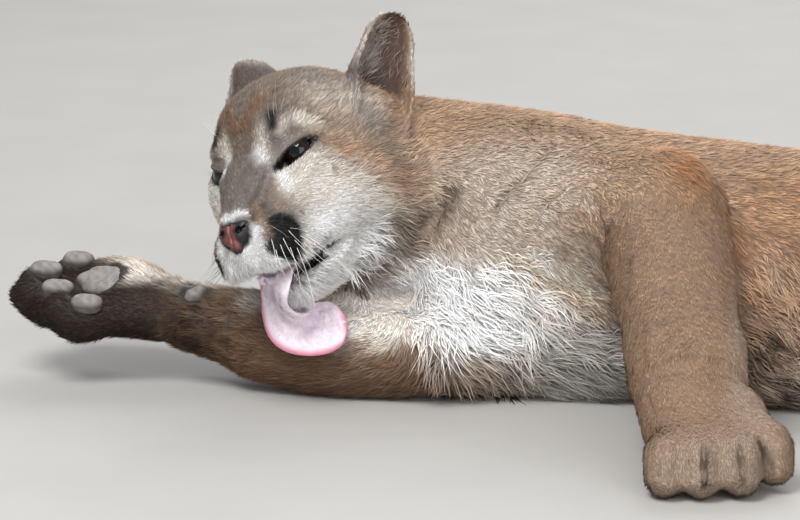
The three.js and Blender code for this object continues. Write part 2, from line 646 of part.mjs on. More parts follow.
const lowerJaw = [
  limb([
    { at: HEAD.at(-84, 0, -74), wide: 56, deep: 34, side: HEAD.l },
    { at: HEAD.at(-44, 0, -92), wide: 44, deep: 24, side: HEAD.l },
    { at: HEAD.at(-20, 0, -102), wide: 30, deep: 19, side: HEAD.l },
    { at: HEAD.at(0, 0, -109), wide: 20, deep: 15, side: HEAD.l },
  ], 12),
  // lower lips
  ...mirrored((m) => limb([
    { at: HEAD.at(-22, m * 36, -84), wide: 13 },
    { at: HEAD.at(-6, m * 24, -96), wide: 11 },
    { at: HEAD.at(8, m * 9, -104), wide: 9 },
  ], 9)),
];
// The open mouth: a wedge that closes at the corners, and the hollow behind the lips
const mouth = [
  limb([
    { at: HEAD.at(-20, 0, -82), wide: 70, deep: 2, side: HEAD.l },
    { at: HEAD.at(14, 0, -94), wide: 70, deep: 4.5, side: HEAD.l },
    { at: HEAD.at(64, 0, -112), wide: 70, deep: 18, side: HEAD.l },
  ], 7, 5),
  lump(HEAD.at(-8, 0, -89), [34, 22, 7], HEAD, 5),
];

// Nodes
const COLOUR = {
  coat: 0x9c7a5c, pale: 0xd8cdbd, nose: 0x8e4a40, tongue: 0xe0a9b4, eye: 0x1a1410, pad: 0x8b867c,
};
const group = new THREE.Group();
function node(name, part, colour, roughness = 0.9) {
  const mesh = largest(part).getMesh();
  const geometry = new THREE.BufferGeometry()
    .setAttribute("position", new THREE.BufferAttribute(mesh.vertProperties.slice(), 3))
    .setIndex(new THREE.BufferAttribute(mesh.triVerts.slice(), 1));
  geometry.computeVertexNormals();
  const material = new THREE.MeshStandardMaterial({ color: colour, roughness, metalness: 0 });
  const made = new THREE.Mesh(geometry, material);
  made.name = name;
  group.add(made);
}

// Flesh grown from some shapes inside a box, and cut flat where it lies on the floor
const FLOOR = block(WORLD, [-3000, -3000, -600], [3000, 3000, 0]);
function grown(shapes, low, high, cell, triangles, hollows = []) {
  const box = new THREE.Box3(low, high);
  const near = shapes.filter((s) => box.distanceToPoint(s.centre) < s.reach + 60);
  return solid(thinned(surfaceOf(flow(near, hollows), low, high, cell), triangles)).subtract(FLOOR);
}

// The space on the side of a plane that its normal points to: beyond it, and beyond it less a gap
function beyond(point, normal, reach = [600, 600]) {
  const side = Math.abs(normal.clone().normalize().z) > 0.9 ? v(0, 1, 0) : v(0, 0, 1).cross(normal);
  const frame = new Frame(point, normal, side);
  return {
    kept: block(frame, [0, -reach[0], -reach[1]], [1200, reach[0], reach[1]]),
    cleared: block(frame, [0, -reach[0], -reach[1]], [1200, reach[0], reach[1]], PART_GAP),
  };
}

// A thin plate across a limb
function plate(point, normal, reach) {
  const side = Math.abs(normal.clone().normalize().z) > 0.9 ? v(0, 1, 0) : v(0, 0, 1).cross(normal);
  return block(new Frame(point, normal, side), [0, -reach, -reach], [PART_GAP, reach, reach]);
}

// The eyes, the nose and the tongue, each in a pocket
const eyes = mirrored((m) => egg(eyeCentre(m), [EYE_RADIUS, EYE_RADIUS, EYE_RADIUS], eyeFrame(m), 0, 2));
const eyePockets = mirrored((m) =>
  egg(eyeCentre(m), [EYE_RADIUS, EYE_RADIUS, EYE_RADIUS], eyeFrame(m), PART_GAP, 2));
const lidSlits = mirrored((m) => egg(eyeFrame(m).at(15, -2, -1), [12, 21, 7], eyeFrame(m), 0, 2));

const NOSE = new Frame(HEAD.at(52, 0, -53), HEAD.f.clone().addScaledVector(HEAD.u, 0.35), HEAD.l);
const nostrils = mirrored((m) => egg(NOSE.at(14, m * 9.5, -1), [9, 5, 4], NOSE, 0, 1));
const noseShape = (grow) => egg(NOSE.at(0, 0, 0), [14, 19, 15], NOSE, grow, 2);
const nosePad = noseShape(0).subtract(wasm.Manifold.union(nostrils));

// The tongue: a thin strap that turns as it comes out over the lower lip and lies on the foreleg
function strap(stations, thick) {
  const line = new THREE.CatmullRomCurve3(stations.map((s) => s.at));
  const outs = new THREE.CatmullRomCurve3(stations.map((s) => s.out));
  const wides = new THREE.CatmullRomCurve3(stations.map((s) => v(s.wide, 0, 0)), false, "catmullrom", 0.5);
  const rows = 18;
  const around = 12;
  const points = [];
  for (let i = 0; i <= rows; i++) {
    const t = i / rows;
    const at = line.getPoint(t);
    const along = line.getTangent(t);
    const out = outs.getPoint(t);
    out.addScaledVector(along, -out.dot(along)).normalize();
    const side = out.clone().cross(along).normalize();
    const wide = wides.getPoint(t).x;
    for (let j = 0; j < around; j++) {
      const a = (j / around) * 2 * Math.PI;
      const s = Math.sign(Math.cos(a)) * Math.abs(Math.cos(a)) ** 0.8 * wide;
      const o = Math.sign(Math.sin(a)) * Math.abs(Math.sin(a)) ** 0.8 * thick / 2;
      points.push(...at.clone().addScaledVector(side, s).addScaledVector(out, o).toArray());
    }
  }
  const triangles = [];
  for (let i = 0; i < rows; i++) {
    for (let j = 0; j < around; j++) {
      const [a, b] = [i * around + j, i * around + ((j + 1) % around)];
      triangles.push(a, b, b + around, a, b + around, a + around);
    }
  }
  for (let j = 1; j < around - 1; j++) {
    triangles.push(0, j + 1, j);
    triangles.push(rows * around, rows * around + j, rows * around + j + 1);
  }
  return solid({ points, triangles });
}
const ON_FOREARM = v(-0.05, -0.78, 0.62);
const tongueStations = [
  { at: HEAD.at(-30, 0, -93), out: HEAD.u.clone(), wide: 13 },
  { at: HEAD.at(-6, 1, -94), out: HEAD.u.clone(), wide: 15 },
  { at: HEAD.at(14, 3, -94), out: HEAD.u.clone().lerp(HEAD.f, 0.25), wide: 16 },
  { at: HEAD.at(29, 4, -99), out: HEAD.f.clone().lerp(HEAD.u, 0.3), wide: 15 },
  { at: v(-102, -53, 94), out: v(-0.66, -0.72, 0.16), wide: 17 },
  { at: v(-93, -40, 73), out: v(-0.4, -0.84, 0.36), wide: 21 },
  { at: v(-75, -33, 65), out: ON_FOREARM, wide: 23 },
  { at: v(-59, -32, 68), out: ON_FOREARM, wide: 19 },
  { at: v(-50, -32, 72), out: ON_FOREARM, wide: 7 },
];
const tongue = strap(tongueStations, 6);
const tonguePocket = strap(tongueStations.map((s) => ({ ...s, wide: s.wide + 0.5 })), 6.9);

// Ears: a scoop that is nearly rolled shut at its root, opens upwards and ends in a rounded tip.
// Each row of the shell is an arc round the ear's axis, thinner towards the rim.
function scoop(frame, grow) {
  const rows = 11;
  const steps = 12;
  const outer = [];
  const inner = [];
  for (let i = 0; i <= rows; i++) {
    const s = -EAR_ROOT + (i / rows) * (0.985 + EAR_ROOT);
    const high = Math.max(s, 0);
    const radius = (EAR_WIDTH / 2) * (1 - high ** 1.9) ** 0.62;
    const open = THREE.MathUtils.degToRad(128 - 48 * high ** 0.6) + grow / radius;
    const end = i === 0 ? -grow : i === rows ? grow : 0;
    for (let j = 0; j <= steps; j++) {
      const turn = open * ((2 * j) / steps - 1);
      const thick = 4.6 + 2.4 * Math.cos((turn / open) * 1.5) * (1 - high);
      const place = (r) => frame.at(
        EAR_HEIGHT * s + end, r * Math.sin(turn), -r * Math.cos(turn) + EAR_WIDTH * 0.18 * high,
      ).toArray();
      outer.push(place(radius + grow));
      inner.push(place(Math.max(radius - thick - grow, 0.4)));
    }
  }
  const wide = steps + 1;
  const shift = outer.length;
  const triangles = [];
  const quad = (a, b, c, d) => triangles.push(a, b, c, a, c, d);
  for (let i = 0; i < rows; i++) {
    for (let j = 0; j < steps; j++) {
      const a = i * wide + j;
      quad(a, a + 1, a + 1 + wide, a + wide);
      quad(a + shift, a + shift + wide, a + shift + 1 + wide, a + shift + 1);
    }
    for (const [a, b] of [[i * wide, (i + 1) * wide], [(i + 1) * wide + steps, i * wide + steps]]) {
      quad(a, b, b + shift, a + shift);
    }
  }
  for (let j = 0; j < steps; j++) {
    quad(j + 1, j, j + shift, j + 1 + shift);
    const top = rows * wide + j;
    quad(top, top + 1, top + 1 + shift, top + shift);
  }
  return solid({ points: [...outer, ...inner].flat(), triangles });
}

// The left ear is pricked to the side and a little forwards, the right one is turned back
function ear(m) {
  const left = m > 0;
  const up = HEAD.f.clone().multiplyScalar(-43).addScaledVector(HEAD.l, left ? 14 : -6);
  const open = HEAD.f.clone().multiplyScalar(left ? 0.4 : -0.45).addScaledVector(HEAD.l, m * 0.9);
  up.addScaledVector(HEAD.u, left ? 72 : 80);
  const frame = new Frame(left ? HEAD.at(-98, 63.5, 20.5) : HEAD.at(-95, -57, 25), up, open.cross(up));
  return { shell: scoop(frame, 0), pocket: scoop(frame, PART_GAP) };
}
const ears = mirrored(ear);

// Pads under the toes and the palm, sunk by most of their depth
function pads(frame, width, length, thick, setBack, drop = 0.4) {
  const toe = width * 0.17;
  const list = [-1.42, -0.5, 0.5, 1.42].map((row, i) => ({
    at: frame.at(length * (0.47 - setBack[i]) - toe, row * toe * 1.56, -thick * 0.13 - toe * 0.8),
    halves: [toe * 0.82, toe * 0.6, toe * 0.42],
  }));
  const halves = [length * 0.13, width * 0.24, thick * 0.17];
  list.push({ at: frame.at(length * 0.02, 0, -thick * drop), halves });
  return list;
}

// Head
const NECK_CUT = [v(6, 60, 185), v(-0.88, -0.42, 0.2)];
let head = largest(grown([...cranium, ...face, ...lowerJaw, ...neck],
  v(-230, -125, 44), v(70, 190, 330), 3.3, 2500, mouth).intersect(beyond(...NECK_CUT).kept));
const earPockets = ears.map((e) => e.pocket);
const headPockets = [...lidSlits, ...eyePockets, noseShape(PART_GAP), tonguePocket, ...earPockets];
for (const away of headPockets) head = head.subtract(away);
// the lower jaw hangs from the corners of the mouth
const corner = HEAD.at(-20, 0, -82);
const below = new Frame(corner, HEAD.f.clone().addScaledVector(HEAD.u, -0.4), HEAD.l);
const behind = new Frame(corner, HEAD.f.clone().addScaledVector(HEAD.u, -1.14), HEAD.l);
const jawSpace = (grow) => block(below, [-200, -90, -90], [90, 90, 0], grow)
  .intersect(block(behind, [0, -90, -200], [200, 90, 200], grow));
node("head", head.subtract(jawSpace(PART_GAP)), COLOUR.coat);
node("lower_jaw", head.intersect(jawSpace(0)), COLOUR.pale);
["left", "right"].forEach((side, i) => {
  node(`eye_${side}`, eyes[i], COLOUR.eye, 0.1);
  node(`ear_${side}`, ears[i].shell, COLOUR.coat);
});
node("nose_pad", nosePad, COLOUR.nose, 0.5);
node("tongue", tongue, COLOUR.tongue, 0.4);

// Paws, each beyond a cut through its wrist
function foot(name, shapes, low, high, cut, padList, padNames, triangles) {
  let flesh = largest(grown(shapes, low, high, 3.6, triangles).intersect(cut.kept));
  padList.forEach(({ at, halves, frame }, i) => {
    flesh = flesh.subtract(egg(at, halves, frame, PART_GAP, 1));
    node(padNames[i], egg(at, halves, frame, 0, 1).subtract(FLOOR), COLOUR.pad, 0.7);
  });
  node(name, flesh, COLOUR.coat);
}
const inFrame = (frame, list) => list.map((p) => ({ ...p, frame }));
const leftPawCut = beyond(v(228, -200, 60), v(0.04, -0.86, -0.5), [110, 110]);
foot("left_forepaw", [leftWrist, ...leftPaw], v(150, -350, -20), v(330, -150, 120), leftPawCut, [], [], 760);
const rightPawCut = beyond(v(-190, 48, 56), v(-0.98, 0.18, 0.05), [90, 70]);
// the toes are curled, so that the pads sit behind their tips
const rightPads = inFrame(RIGHT_PAW, [
  { at: RIGHT_PAW.at(3, -39, -15), halves: [13.5, 10, 7.4] },
  { at: RIGHT_PAW.at(33, -14, -15), halves: [14, 10, 7.4] },
  { at: RIGHT_PAW.at(49, 14, -18.5), halves: [14, 10, 7.4] },
  { at: RIGHT_PAW.at(26, 39, -18.5), halves: [13.5, 10, 7.4] },
  { at: RIGHT_PAW.at(-5, 0, -18.5), halves: [22, 25, 8] },
]);
foot("right_forepaw", [rightWrist, ...rightPaw], v(-370, -20, -10), v(-130, 140, 130), rightPawCut, rightPads,
  ["right_toe_pad_5", "right_toe_pad_4", "right_toe_pad_3", "right_toe_pad_2", "right_palm_pad"], 820);
const leftHindCut = beyond(v(724, -232, 34), v(-0.82, -0.56, -0.06), [70, 70]);
const leftHindShapes = [...leftFoot, ...leftHindPaw];
foot("left_hindpaw", leftHindShapes, v(560, -370, -20), v(800, -150, 120), leftHindCut, [], [], 620);
const rightHindCut = beyond(v(482, -258, 36), v(-0.94, -0.32, -0.05), [70, 70]);
const hindPads = inFrame(
  RIGHT_HIND_PAW, pads(RIGHT_HIND_PAW, HINDPAW_WIDTH - 4, 112, 48, HIND_SET_BACK, 0.47),
);
const hindPadNames = [
  "hind_toe_pad_2", "hind_toe_pad_3", "hind_toe_pad_4", "hind_toe_pad_5", "hind_sole_pad",
];
const rightHindShapes = [...rightFoot, ...rightHindPaw];
foot(
  "right_hindpaw", rightHindShapes, v(340, -370, -20), v(560, -170, 120),
  rightHindCut, hindPads, hindPadNames, 620,
);

// Trunk, limbs and tail, parted by plates and walls
const wristPad = [v(-173, 33, 77), [11, 10, 8], WORLD];
// the head's place is cleared without touching the foreleg that lies under it
const neckFrame = new Frame(NECK_CUT[0], NECK_CUT[1], v(0, 0, 1).cross(NECK_CUT[1]));
const neckClearings = [
  { cleared: block(neckFrame, [0, -260, -111], [500, 260, 260], PART_GAP) },
  { cleared: block(neckFrame, [0, -260, -170], [50, -10, 0], PART_GAP) },
];
let body = grown([...trunk, ...neck, ...cranium, ...tail, ...leftArm, leftWrist, ...rightArm, rightWrist,
  ...leftHind, ...leftFoot, ...rightHind, ...rightFoot], v(-260, -350, -30), v(1130, 290, 300), 8.5, 4150);
const shifts = [[0, 0, -0.4], [0, -0.3, -0.1], [0, 0.3, -0.1], [0.3, 0, -0.1]];
body = body.subtract(wasm.Manifold.union(shifts.map((shift) => head.translate(shift))));
const clearings = [...neckClearings, leftPawCut, rightPawCut, leftHindCut, rightHindCut];
for (const cut of clearings) body = body.subtract(cut.cleared);
const along = (from, to, side) => new Frame(from, to.clone().sub(from), side);
const upperArmFrame = along(LEFT_SHOULDER, LEFT_ELBOW, v(0.55, 0.75, 0.37));
const forearmFrame = along(LEFT_ELBOW, LEFT_WRIST, v(1, 0, 0));
const leftThighFrame = along(LEFT_HIP, LEFT_KNEE, v(0.84, -0.5, -0.3));
const rightThighFrame = along(RIGHT_HIP, RIGHT_KNEE, v(0.5, -0.86, 0));
const rightShankFrame = along(RIGHT_KNEE, RIGHT_HOCK, v(0.95, 0.3, 0));
const rightForearmFrame = along(RIGHT_ELBOW, RIGHT_WRIST, v(-0.23, -0.97, 0));
// First the limbs come off the trunk, each with the space of one or two blocks, each block given
// by its frame and two corners.
const limbSpaces = [
  [[upperArmFrame, [24, -66, -42], [150, 62, 200]], [forearmFrame, [-20, -66, -58], [300, 64, 120]]],
  [[rightForearmFrame, [22, -52, -70], [320, 66, 45]]],
  [[rightForearmFrame, [-50, -52, -70], [22, 66, 45]]],
  [[leftThighFrame, [60, -110, -68], [290, 84, 200]]],
  [[rightThighFrame, [126, -66, -62], [310, 66, 88]], [rightShankFrame, [-40, -62, -60], [54, 120, 60]]],
];
const parted = [];
for (const space of limbSpaces) {
  parted.push(body.intersect(wasm.Manifold.union(space.map((b) => block(...b)))));
  body = body.subtract(wasm.Manifold.union(space.map((b) => block(...b, PART_GAP))));
}
parted[0] = parted[0].subtract(plate(v(216, -58, 152), v(0.3, -0.83, -0.45), 96)); // left elbow
parted[1] = parted[1].subtract(egg(...wristPad, PART_GAP, 1));
const cuts = wasm.Manifold.union([
  plate(v(792, -178, 43), v(0.07, -0.94, -0.34), 84), // left hock
  plate(v(556, -222, 40), v(-0.44, -0.9, 0), 75), // right hock
  plate(v(92, 84, 128), v(0.95, 0.02, -0.3), 230), // neck and chest
  plate(v(345, 70, 90), v(1, 0, 0), 200),
  plate(v(572, 105, 84), v(1, 0, 0), 120),
  plate(v(806, 132, 74), v(0.93, 0.2, -0.3), 90), // root of the tail
  plate(v(948, 140, 36), v(0.98, -0.2, -0.1), 60),
  plate(v(1076, 10, 28), v(0.25, -0.97, 0), 60),
  plate(v(1040, -160, 27), v(-0.55, -0.83, 0), 60),
]);
parted.push(body.subtract(cuts));
node("wrist_pad", egg(...wristPad, 0, 1), COLOUR.pad, 0.7);
const insides = {
  neck: v(40, 90, 150), chest: v(240, 90, 90), belly: v(450, 90, 80), hips: v(690, 130, 60),
  left_upper_arm: v(150, 10, 165), left_forearm: v(222, -120, 112),
  right_forearm: v(-60, 10, 41), right_elbow: v(55, -8, 40),
  left_thigh: v(640, -10, 118), left_shank: v(710, -132, 70), left_hind_foot: v(752, -210, 38),
  right_thigh: v(510, 0, 50), right_shank: v(530, -130, 45), right_hind_foot: v(515, -246, 36),
  tail_root: v(860, 142, 56), tail_middle: v(1040, 80, 28),
  tail_end: v(1080, -60, 28), tail_tip: v(960, -222, 26),
};
const pieces = parted.flatMap((p) => p.decompose());
for (const [name, inside] of Object.entries(insides)) {
  const probe = egg(inside, [1.5, 1.5, 1.5], WORLD, 0, 0);
  const found = pieces.find((p) => p.intersect(probe).volume() > 0);
  if (!found) throw new Error(`nothing found for ${name}`);
  node(name, found, COLOUR.coat);
}

// The origin is the middle of the underside of the whole.
const whole = new THREE.Box3().setFromObject(group);
const middle = whole.getCenter(v(0, 0, 0));
for (const mesh of group.children) mesh.geometry.translate(-middle.x, -middle.y, -whole.min.z);
export default group;
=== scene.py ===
# A life-size cougar that lies on its right side and washes its outstretched right foreleg.
# Everything is laid out in millimetres in the animal's own frame: the floor is at height 0, the
# body runs along x with the head at the low end, and low y is the side that the viewer sees.

import math

import bmesh
import bpy
import numpy as np
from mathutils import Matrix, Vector
from mathutils.bvhtree import BVHTree
from mathutils.kdtree import KDTree


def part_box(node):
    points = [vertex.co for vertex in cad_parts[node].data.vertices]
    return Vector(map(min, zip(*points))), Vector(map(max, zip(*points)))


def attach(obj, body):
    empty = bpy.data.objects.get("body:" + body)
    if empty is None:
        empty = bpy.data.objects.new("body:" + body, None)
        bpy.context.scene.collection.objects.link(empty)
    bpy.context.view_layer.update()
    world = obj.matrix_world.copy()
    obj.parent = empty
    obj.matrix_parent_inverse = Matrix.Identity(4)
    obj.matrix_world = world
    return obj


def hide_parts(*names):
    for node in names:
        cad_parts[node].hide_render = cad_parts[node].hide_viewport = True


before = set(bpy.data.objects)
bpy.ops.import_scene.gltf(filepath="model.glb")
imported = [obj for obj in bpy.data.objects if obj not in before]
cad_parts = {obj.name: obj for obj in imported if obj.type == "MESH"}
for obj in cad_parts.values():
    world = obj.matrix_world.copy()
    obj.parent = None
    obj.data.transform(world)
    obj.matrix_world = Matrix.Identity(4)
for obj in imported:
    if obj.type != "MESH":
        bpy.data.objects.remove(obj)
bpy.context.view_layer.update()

# Places
# A place is a point with three directions. The head has one of its own between the eyes, and the
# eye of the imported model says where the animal's frame lies in the scene.
MM = 0.001


def unit(rows):
    rows = np.asarray(rows, float)
    return rows / np.maximum(np.linalg.norm(rows, axis=-1, keepdims=True), 1e-9)


class Place:
    def __init__(self, origin, forward, left):
        self.origin = np.asarray(origin, float)
        self.f = unit(forward)
        self.u = unit(np.cross(self.f, left))
        self.l = np.cross(self.u, self.f)

    def at(self, f, l, u):
        return self.origin + f * self.f + l * self.l + u * self.u

    def local(self, points):
        return (points - self.origin) @ np.stack([self.f, self.l, self.u], axis=1)

    def spread(self, local):
        return self.origin + local @ np.stack([self.f, self.l, self.u])


HEAD = Place((-118, -15, 202), (-0.54, -0.839, 0.065), (0.79, -0.483, 0.378))
BODY = Place((0, 0, 0), (1, 0, 0), (0, 1, 0))


def eye_centre(side):
    return HEAD.at(-12, side * 36, -1)


eye_low, eye_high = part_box("eye_left")
SHIFT = (np.array(eye_low) + np.array(eye_high)) / 2 / MM - eye_centre(1)


def in_scene(points):
    return (np.asarray(points) + SHIFT) * MM


def from_scene(points):
    return np.asarray(points) / MM - SHIFT


# Camera, floor and light
# The camera looks down a little on the animal from its belly side, from far away, as a long lens
# does. The floor is pale and plain, under soft light from above and a broad lamp on the left.
AIM = np.array([0, 0, 116])
CAMERA_RISE = math.radians(14)
CAMERA_DISTANCE = 3200
# the picture and the focal length are counted in pixels, the sensor in millimetres
PICTURE_WIDTH, PICTURE_HEIGHT = 800, 520
FOCAL = 3840
SENSOR_WIDTH = 36
back_to_camera = np.array([0, -math.cos(CAMERA_RISE), math.sin(CAMERA_RISE)])
picture_right = np.array([1, 0, 0])
picture_up = np.array([0, math.sin(CAMERA_RISE), math.cos(CAMERA_RISE)])
EYEPOINT = AIM + CAMERA_DISTANCE * back_to_camera
bpy.ops.object.camera_add(location=in_scene(EYEPOINT), rotation=(math.pi / 2 - CAMERA_RISE, 0, 0))
camera = bpy.context.object
camera.data.lens = SENSOR_WIDTH * FOCAL / PICTURE_WIDTH
camera.data.clip_end = 200
bpy.context.scene.camera = camera
bpy.context.scene.view_settings.view_transform = "Standard"


def line_of_sight(across, down):
    # the direction in which the camera sees a place of the picture
    to_right = (across - PICTURE_WIDTH / 2) * picture_right
    to_top = (PICTURE_HEIGHT / 2 - down) * picture_up
    return unit(-back_to_camera * FOCAL + to_right + to_top)


def finish_material(name, roughness, colour=(1, 1, 1)):
    made = bpy.data.materials.new(name)
    made.use_nodes = True
    shader = made.node_tree.nodes["Principled BSDF"]
    shader.inputs["Roughness"].default_value = roughness
    shader.inputs["Base Color"].default_value = (*colour, 1)
    return made, shader


def wire(tree, kind, settings=(), links=()):
    made = tree.nodes.new(kind)
    for key, value in dict(settings).items():
        if key in made.inputs:
            made.inputs[key].default_value = value
        else:
            setattr(made, key, value)
    for key, source in dict(links).items():
        tree.links.new(source, made.inputs[key])
    return made


def object_places(tree):
    return wire(tree, "ShaderNodeTexCoord").outputs["Object"]


def noise(tree, scale, detail=2.0):
    # cloudy noise in the piece's own space, as a number
    settings = {"Scale": scale, "Detail": detail}
    return wire(tree, "ShaderNodeTexNoise", settings, {"Vector": object_places(tree)}).outputs["Fac"]


def linear(red, green, blue):
    # the 0 to 255 numbers of a screen colour as light
    return (np.array([red, green, blue]) / 255) ** 2.2


bpy.ops.mesh.primitive_plane_add(size=80)
floor = bpy.context.object
floor.name = "floor"
floor_paint, shader = finish_material("pale_floor", 0.85)
tree = floor_paint.node_tree
ramp = wire(tree, "ShaderNodeValToRGB", links={"Fac": noise(tree, 9.0, 5.0)})
for end, grey in zip(ramp.color_ramp.elements, (linear(168, 166, 162), linear(178, 176, 172))):
    end.color = (*grey, 1)
tree.links.new(ramp.outputs["Color"], shader.inputs["Base Color"])
floor.data.materials.append(floor_paint)


def lamp(name, place, size, power, aim):
    bpy.ops.object.light_add(type="AREA", location=place)
    made = bpy.context.object
    made.name = name
    made.data.size = size
    made.data.energy = power
    made.rotation_euler = (Vector(aim) - Vector(place)).to_track_quat("-Z", "Y").to_euler()


lamp("window_light", (-1.3, -1.7, 2.9), 1.5, 108, (-0.1, 0, 0.1))
lamp("fill_light", (0.9, -2.8, 1.2), 2.5, 46, (-0.1, 0, 0.1))
lamp("back_light", (0.4, 2.2, 2.3), 2.2, 52, (0, 0, 0.1))
sky = bpy.data.worlds.new("studio")
sky.use_nodes = True
background = sky.node_tree.nodes["Background"]
background.inputs["Color"].default_value = (0.95, 0.96, 1.0, 1)
background.inputs["Strength"].default_value = 0.5
bpy.context.scene.world = sky

# Skin
# One skin covers all the flesh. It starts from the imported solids, run together and smoothed, and
# lies under their surface by the depth of the coat, so that the hair's tips make the outline.
SKIN_CELL = 2.4
SWELL = 0.4
# nothing that lies on the floor reaches under these heights
SKIN_FLOOR = 1.2
HAIR_FLOOR = 0.7
HAIR_EDGE_FLOOR = 0.4
WHISKER_FLOOR = 0.6
HEAD_PARTS = ("head", "lower_jaw", "ear_left", "ear_right")
naked = [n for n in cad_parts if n.startswith("eye_") or n in ("nose_pad", "tongue") or "_pad" in n]
flesh = [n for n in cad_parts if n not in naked]
pads = [n for n in naked if "_pad" in n and n != "nose_pad"]


def add_piece(name, mesh):
    made = bpy.data.objects.new(name, mesh)
    bpy.context.collection.objects.link(made)
    return made



# each part's coat: hair length, depth of the coat, how steeply the hair stands in degrees, width of
# a tuft and the distance between two roots
COAT = {
    "head": (6.5, 2.4, 15, 0.78, 1.34),
    "lower_jaw": (8, 2.6, 17, 0.85, 1.4),
    "ear_left": (5, 1.2, 13, 0.8, 1.4),
    "ear_right": (5, 1.2, 13, 0.8, 1.4),
    "neck": (7, 3.8, 19, 0.95, 1.55),
    "chest": (8, 4.2, 14, 1.0, 1.86),
    "belly": (11, 5.0, 13, 1.5, 2.6),
    "hips": (9, 4.6, 13, 1.4, 2.5),
    "tail_root": (13, 5, 16, 1.6, 2.6),
    "tail_middle": (13, 5, 16, 1.6, 2.5),
    "tail_end": (13, 5, 16, 1.6, 2.4),
    "tail_tip": (15, 5.5, 17, 1.6, 2.4),
    "left_upper_arm": (7.5, 3.6, 16, 1.0, 1.6),
    "left_forearm": (5.5, 3.0, 13, 0.78, 1.3),
    "left_forepaw": (5, 1.4, 13, 0.75, 1.3),
    "right_elbow": (13, 5.0, 18, 1.3, 2.0),
    "right_forearm": (9, 3.4, 16, 1.1, 1.7),
    "right_forepaw": (6.5, 2.4, 17, 1.0, 1.6),
    "left_thigh": (12, 5, 15, 1.6, 2.6),
    "right_thigh": (12, 5, 15, 1.6, 2.6),
    "left_shank": (10, 4, 15, 1.4, 2.4),
    "right_shank": (10, 4, 15, 1.4, 2.4),
    "left_hind_foot": (8, 3.2, 14, 1.2, 2.2),
    "right_hind_foot": (8, 3.2, 14, 1.2, 2.2),
    "left_hindpaw": (6, 2.4, 15, 1.1, 2.0),
    "right_hindpaw": (6, 2.4, 15, 1.1, 2.0),
}
LENGTH, DEPTH, RISE, WIDTH, SPACING = range(5)

whole = bmesh.new()
for name in flesh + [n for n in naked if n != "tongue"]:
    whole.from_mesh(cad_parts[name].data)
bmesh.ops.remove_doubles(whole, verts=whole.verts, dist=1e-5)
whole.normal_update()
for vertex in whole.verts:
    vertex.co += vertex.normal * SWELL * MM
bpy.ops.object.select_all(action="DESELECT")
skin_mesh = bpy.data.meshes.new("skin")
whole.to_mesh(skin_mesh)
whole.free()
skin = add_piece("skin", skin_mesh)


def apply_modifier(piece, kind, **settings):
    bpy.context.view_layer.objects.active = piece
    made = piece.modifiers.new(kind, kind)
    for key, value in settings.items():
        setattr(made, key, value)
    bpy.ops.object.modifier_apply(modifier=made.name)


apply_modifier(skin, "REMESH", mode="VOXEL", voxel_size=SKIN_CELL * MM, adaptivity=0)


def read(mesh, what="vertices", key="co", width=3, kind=np.float32):
    values = np.zeros(len(getattr(mesh, what)) * width, kind)
    getattr(mesh, what).foreach_get(key, values)
    return values.reshape(-1, width) if width > 1 else values


def points_of(mesh):
    return from_scene(read(mesh).astype(float))


def edges_of(mesh):
    return read(mesh, "edges", "vertices", 2, np.int32)


def normals_of(mesh):
    return read(mesh, "vertices", "normal").astype(float)


def put_points(mesh, points):
    mesh.vertices.foreach_set("co", in_scene(points).astype(np.float32).ravel())
    mesh.update()


def smoothed(values, edges, rounds, shares=(0.5,)):
    # each point's values drawn towards the mean of its neighbours', round by round
    a, b = edges.T
    count = len(values)
    degree = np.maximum(np.bincount(a, minlength=count) + np.bincount(b, minlength=count), 1)
    values = np.array(values, float)
    flat = values.reshape(count, -1)
    for step in range(rounds):
        share = shares[step % len(shares)]
        share = share if np.ndim(share) == 0 else share[:, None]
        around = np.stack([
            np.bincount(a, column[b], count) + np.bincount(b, column[a], count) for column in flat.T
        ], axis=1)
        flat = flat + share * (around / degree[:, None] - flat)
    return flat.reshape(values.shape)


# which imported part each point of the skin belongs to
owners = []
corners = []
triangles = []
for name in flesh:
    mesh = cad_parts[name].data
    triangles += [[len(corners) + i for i in polygon.vertices] for polygon in mesh.polygons]
    corners += [tuple(vertex.co) for vertex in mesh.vertices]
    owners += [flesh.index(name)] * len(mesh.polygons)
solids = BVHTree.FromPolygons(corners, triangles)
owners = np.array(owners)


def part_of(mesh):
    found = [solids.find_nearest(vertex.co)[2] for vertex in mesh.vertices]
    return owners[np.array(found)]


def among(part, *names):
    return np.isin(part, [flesh.index(n) for n in names]).astype(float)


def seen(*places):
    # the points of the solids that the camera sees at these places of the picture
    found = []
    for across, down in places:
        hit = solids.ray_cast(Vector(in_scene(EYEPOINT)), Vector(line_of_sight(across, down)))[0]
        found.append(from_scene(hit))
    return np.array(found)


points = points_of(skin.data)
edges = edges_of(skin.data)
part = part_of(skin.data)
head_share = smoothed(among(part, *HEAD_PARTS), edges, 12)
ear_share = smoothed(among(part, "ear_left", "ear_right"), edges, 4)
paw_share = smoothed(among(part, *[n for n in flesh if "paw" in n]), edges, 8)
firm = np.clip(head_share + paw_share, 0, 1)
points = smoothed(points, edges, 12, (0.5, -0.51))
points = smoothed(points, edges, 60, (0.55 * (1 - firm), -0.56 * (1 - firm)))


def surface_of(piece):
    # the piece's faces as a tree that rays are cast at
    spots = [tuple(vertex.co) for vertex in piece.data.vertices]
    return BVHTree.FromPolygons(spots, [tuple(polygon.vertices) for polygon in piece.data.polygons])


def touching(tree, reach):
    # which points of the skin lie within a reach, in metres, of such a surface
    return [tree.find_nearest(Vector(p), reach)[3] is not None for p in in_scene(points)]


